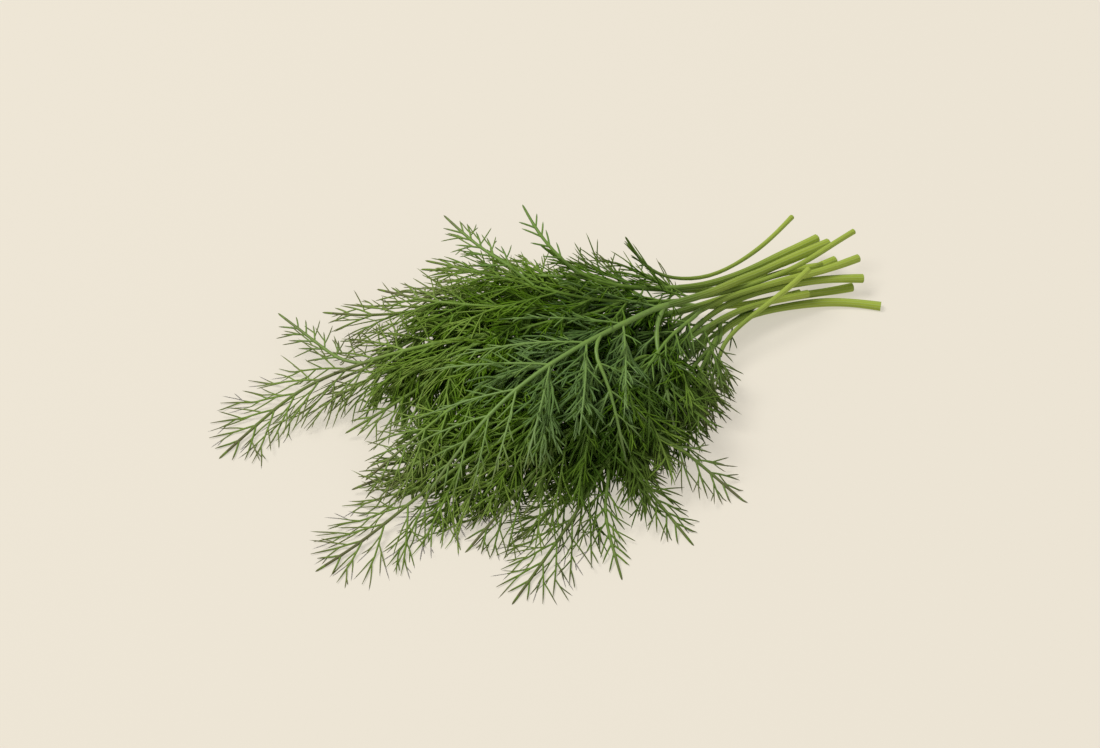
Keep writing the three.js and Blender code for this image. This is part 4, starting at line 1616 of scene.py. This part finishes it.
    def _lower_ribs(self) -> list[Rib]:
        """Grows lower ribs, which hang under the leaf and fill the inside of the bunch, in a darker
        green that paints shade there.

        Returns:
            The lower ribs.
        """
        ribs = []
        least = self.lower_rests[0] if self.plan.root is None else self.lower_rests[1]
        for rib in self.plan.ribs:
            joint = rib.joint
            near_end = self.plan.rest(joint) < least
            if self.plan.row.reach < self.lower_reach or near_end or joint.edge > self.lower_edge:
                continue
            side = rib.out - joint.direction * rib.out.dot(joint.direction)
            for number, middle in enumerate(self.lower_turns):
                seed = rib.seed + self.lower_seed + self.lower_seed_step * number
                turn = middle + jitter(seed, Draw.LOW_TURN, self.lower_turn_stray)
                swing = jitter(seed, Draw.LOW_SWING, self.lower_swing)
                size = 1 + jitter(seed, Draw.LOW_LENGTH, self.lower_length_stray)
                out = unit(rib.out * math.cos(turn) + side * swing - joint.normal * math.sin(turn))
                length = rib.length * self.lower_share * size
                ribs.append(Rib(joint, out, length, self.lower_lift, seed, self.lower_light))
        return ribs

    def _midrib(self, skin: Skin) -> None:
        """Adds the midrib, with a knot at each joint. A side leaf's starts inside its stalk.

        Args:
            skin: The leaf's skin.
        """
        plan = self.plan
        path = plan.path.smoothed()
        distances = np.arange(0.0, path.length, self.midrib_step)
        centres = path.at(distances)
        if plan.root is None:
            start = (path.point(0) - path.direction(self.foot_heading) * self.midrib_back)[None]
        else:
            start = np.vstack((plan.root, 0.5 * (plan.root + centres[0])))
        reached = np.concatenate((np.zeros(len(start)), distances))
        centres = np.vstack((start, centres))
        knots = sum(
            (np.exp(-(((reached - joint.distance) / self.knot_half) ** 2)) for joint in plan.joints),
            np.zeros(len(reached)),
        )
        radii = np.interp(reached, plan.path.reached, plan.radii) * (1 + self.knot_swell * knots)
        pale = self.midrib_pale * (1 - self.midrib_pale_loss * reached / path.length)
        normals = MOUND.lean(centres)
        add_tube(
            skin, centres, radii, normals, self.midrib_sides, self.midrib_ridges,
            pale=np.clip(pale + self.knot_pale * knots, 0, 1),
            tone=np.full(len(reached), self.midrib_tone),
            bloom=np.full(len(reached), self.bloom),
            tip=np.clip(self.midrib_dry[0] * reached / path.length - self.midrib_dry[1], 0, 1),
        )
        end = Shoots(
            centres[-1:], unit(centres[-1:] - centres[-2:-1]), normals[-1:], np.zeros((1, 3)),
            np.array((self.end_length,)), radii[-1:], np.array((self.end_tone,)), np.ones(1),
        )
        end.add_to(skin, self.end_thread, self.bloom)

    def _rib(self, skin: Skin, rib: Rib) -> None:
        """Adds one side rib, whose last stretch is its end thread.

        Args:
            skin: The leaf's skin.
            rib: The side rib.
        """
        count = max(int(rib.length / self.rib_step), self.rib_rings)
        reaches = np.linspace(self.rib_start, rib.length, count)
        centres = rib.at(reaches)
        share = reaches / rib.length
        loose = self._loose(rib)
        slope, least, power = self.rib_point
        point = np.clip((1 - share) * slope, least, 1) ** power
        thick = self.rib_radius * (1 - self.rib_loose_loss * loose)
        add_tube(
            skin, centres, thick * (1 - self.rib_taper * share) * point,
            np.tile(rib.joint.normal, (len(centres), 1)), self.rib_sides,
            pale=self.rib_pale * rib.light * (1 - share) ** self.rib_pale_fade,
            tone=np.full(count, rib.light * rib.tone),
            bloom=np.full(count, self.bloom),
            tip=loose * np.clip(self.rib_dry[0] * share - self.rib_dry[1], 0, 1),
        )

    def _spots(self, rib: Rib, gap: float) -> Array:
        """Spaces the shoots of one side of a rib.

        Args:
            rib: The side rib.
            gap: About how far apart they are.

        Returns:
            Their distances from the midrib: one on a short rib, and none on a very short one.
        """
        room = rib.length - self.first_shoot - self.shoot_end
        count = int(room / gap + self.shoot_round)
        if count >= 1:
            return self.first_shoot + (np.arange(count) + self.shoot_offset) * room / count
        return np.full(int(rib.length >= self.shortest_forked), self.short_share * rib.length)

    def _shoots(self, rib: Rib, side: int, draws: np.random.Generator) -> Shoots:
        """Grows the shoots on one side of a rib.

        Args:
            rib: The side rib.
            side: 1 or -1, for the side.
            draws: The leaf's own random draws.

        Returns:
            The shoots.
        """
        loose = self._loose(rib)
        low = rib.light < 1
        gap = self.lower_gap if low else between(self.shoot_gaps, loose)
        spots = self._spots(rib, gap)
        n = len(spots)
        shift = self.side_shift * min(gap, self.side_shift_most * rib.length)
        reach = spots + (shift if side < 0 else 0)
        reach = reach + draws.uniform(-self.shoot_spot_stray, self.shoot_spot_stray, n)
        heading = unit(rib.at(reach + self.heading_half) - rib.at(reach - self.heading_half))
        normal = square_to(heading, np.tile(rib.joint.normal, (n, 1)))
        across = np.cross(heading, normal) * side
        stray = self.shoot_stray + self.mound_stray * (1 - loose)
        angle = between(self.shoot_angles, reach / rib.length)
        angle = (angle + draws.uniform(-stray, stray, n))[:, None]
        lift = draws.normal(self.shoot_lift, self.shoot_lift_stray * stray, n)[:, None]
        way = unit(heading * np.cos(angle) + across * np.sin(angle) + normal * lift)
        fine = self.plan.row.name in FINE_LEAVES and not low
        least, growth, most = self.fine_growth if fine else self.shoot_growth
        rest = rib.length - reach
        length = np.minimum(np.minimum(least + growth * rest, rest + self.shoot_past), most)
        curl = self.curls[self.plan.row.name in CURLED_LEAVES] * (self.curl_most - loose)
        curl = draws.normal(0, curl, n)[:, None]
        bend = self.forward * heading + across * curl
        bend = bend + normal * draws.normal(0, self.shoot_bend, n)[:, None] - UP * self.shoot_droop
        length = length * draws.uniform(*self.shoot_sizes, n)
        tone = rib.tone + draws.normal(self.loose_tone * loose, self.tone_stray, n)
        thick = self.lower_thick if low else 1 - self.loose_thin * loose
        return Shoots(
            rib.at(reach), way, normal, bend, length, np.full(n, self.shoot_radius * thick),
            np.clip(tone * rib.light, 0, 1), np.full(n, loose),
        )

    def _forks(self, shoots: Shoots, number: int, draws: np.random.Generator) -> Shoots:
        """Grows the threads that fork from all shoots near one distance from their feet.

        Args:
            shoots: The shoots that carry them.
            number: Which of the fork places this is.
            draws: The leaf's own random draws.

        Returns:
            The threads, on alternate sides of the shoots.
        """
        n = len(shoots)
        stray = self.fork_place_stray
        reach = self.fork_places[number] + draws.uniform(-stray, stray, n)
        along = np.clip(reach / shoots.length, *self.fork_shares)
        rest = shoots.length - reach
        kept = (rest > self.fork_least) & (draws.random(n) >= shoots.loose * self.fork_losses[number])
        side = np.where((np.arange(n) + number) % 2 == 0, 1.0, -1.0)[:, None]
        heading = shoots.heading(along)
        normal = square_to(heading, shoots.normal)
        stray = self.fork_angle_stray
        angle = (self.fork_angle + draws.uniform(-stray, stray, n))[:, None]
        across = np.cross(heading, normal) * side
        lift = draws.normal(0.0, self.fork_lift, n)[:, None]
        way = unit(heading * np.cos(angle) + across * np.sin(angle) + normal * lift)
        length = np.maximum(rest, self.fork_shortest) * self.fork_share
        length = length * draws.uniform(*self.fork_sizes, n)
        tone = np.clip(shoots.tone + draws.normal(0, self.fork_tone_stray, n), 0, 1)
        bend = self.forward * heading + normal * draws.normal(0, self.fork_bend, n)[:, None]
        parts = (
            shoots.at(along), way, normal, bend - UP * self.fork_droop, length,
            self.fork_thick * shoots.radius, tone, shoots.loose,
        )
        return Shoots(*(part[kept] for part in parts))


def dress(piece: Piece, material: Material, node: str) -> Piece:
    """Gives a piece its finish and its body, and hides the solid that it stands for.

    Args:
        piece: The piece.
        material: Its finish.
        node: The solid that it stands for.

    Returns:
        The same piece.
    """
    piece.data.materials.append(material)
    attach(piece, "root")
    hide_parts(node)
    return piece


# ---- Stage ----


@dataclass(frozen=True)
class Lamp:
    """A square soft light that faces the bunch."""

    name: str
    place: Point
    size: float
    power: float
    colour: Colour = (1.0, 1.0, 1.0)

    def build(self) -> None:
        """Makes the light."""
        light = bpy.data.lights.new(self.name, "AREA")
        light.size, light.energy, light.color = self.size, self.power, self.colour
        made = bpy.data.objects.new(self.name, light)
        made.location = self.place
        made.rotation_euler = (-Vector(self.place)).to_track_quat("-Z", "Y").to_euler()
        bpy.context.collection.objects.link(made)


@dataclass(frozen=True)
class Stage:
    """The pale table, the soft lights, the even room light and the camera."""

    half_size: float = 3.0
    azimuth: float = -25.0
    elevation: float = 45.0
    distance: float = 0.950
    target: Point = (-0.004, 0.016, 0.0)
    lens: float = 85.0
    sensor: float = 36.0
    room: Colour = (1.0, 0.975, 0.93)
    room_strength: float = 0.32
    lamps: tuple[Lamp, ...] = (
        Lamp("key", (-2.2, 1.7, 5.0), 2.6, 250.0, (1.0, 0.99, 0.96)),
        Lamp("fill", (1.2, -1.8, 1.8), 2.4, 8.0, (0.95, 0.98, 1.0)),
    )

    def build(self) -> None:
        """Makes all of the stage."""
        self._table()
        self._room()
        for lamp in self.lamps:
            lamp.build()
        self._camera()

    def _table(self) -> None:
        """Makes the table top, which isn't part of the bunch."""
        s = self.half_size
        mesh = bpy.data.meshes.new("table_top")
        mesh.from_pydata([(-s, -s, 0), (s, -s, 0), (s, s, 0), (-s, s, 0)], [], [(0, 1, 2, 3)])
        top = bpy.data.objects.new("table_top", mesh)
        top.data.materials.append(TableFinish().material())
        bpy.context.collection.objects.link(top)

    def _room(self) -> None:
        """Lights the room evenly."""
        world = bpy.data.worlds.new("soft_room")
        world.use_nodes = True
        background = world.node_tree.nodes["Background"]
        background.inputs["Color"].default_value = (*self.room, 1.0)
        background.inputs["Strength"].default_value = self.room_strength
        bpy.context.scene.world = world
        bpy.context.scene.view_settings.view_transform = "Standard"

    def _camera(self) -> None:
        """Puts the camera in front of the bunch, looking down at it."""
        turn, rise = math.radians(self.azimuth), math.radians(self.elevation)
        back = Vector((
            math.sin(turn) * math.cos(rise), -math.cos(turn) * math.cos(rise), math.sin(rise)
        ))
        right = Vector((math.cos(turn), math.sin(turn), 0.0))
        data = bpy.data.cameras.new("camera")
        data.lens, data.sensor_width = self.lens, self.sensor
        camera = bpy.data.objects.new("camera", data)
        place = Matrix((right, back.cross(right), back)).transposed().to_4x4()
        place.translation = Vector(self.target) + back * self.distance
        camera.matrix_world = place
        bpy.context.collection.objects.link(camera)
        bpy.context.scene.camera = camera


def main() -> None:
    """Builds the stage, then every stalk and leaf, and reports each."""
    logging.basicConfig(level=logging.INFO, format="%(name)s: %(message)s")
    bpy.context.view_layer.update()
    Stage().build()
    stalks, leaves = plan_bunch()
    stalk_skin, leaf_skin = StalkFinish().material(), LeafFinish().material()
    total = 0
    for strand in stalks:
        piece = Stalk(strand).build(stalk_skin)
        total += len(piece.data.polygons)
        LOG.info("%s: %d faces", piece.name, len(piece.data.polygons))
    for plan in leaves:
        piece = Leaf(plan).build(leaf_skin)
        total += len(piece.data.polygons)
        LOG.info("%s: %d ribs, %d faces", piece.name, len(plan.ribs), len(piece.data.polygons))
    LOG.info("whole bunch: %d faces", total)


if __name__ == "__main__":
    main()
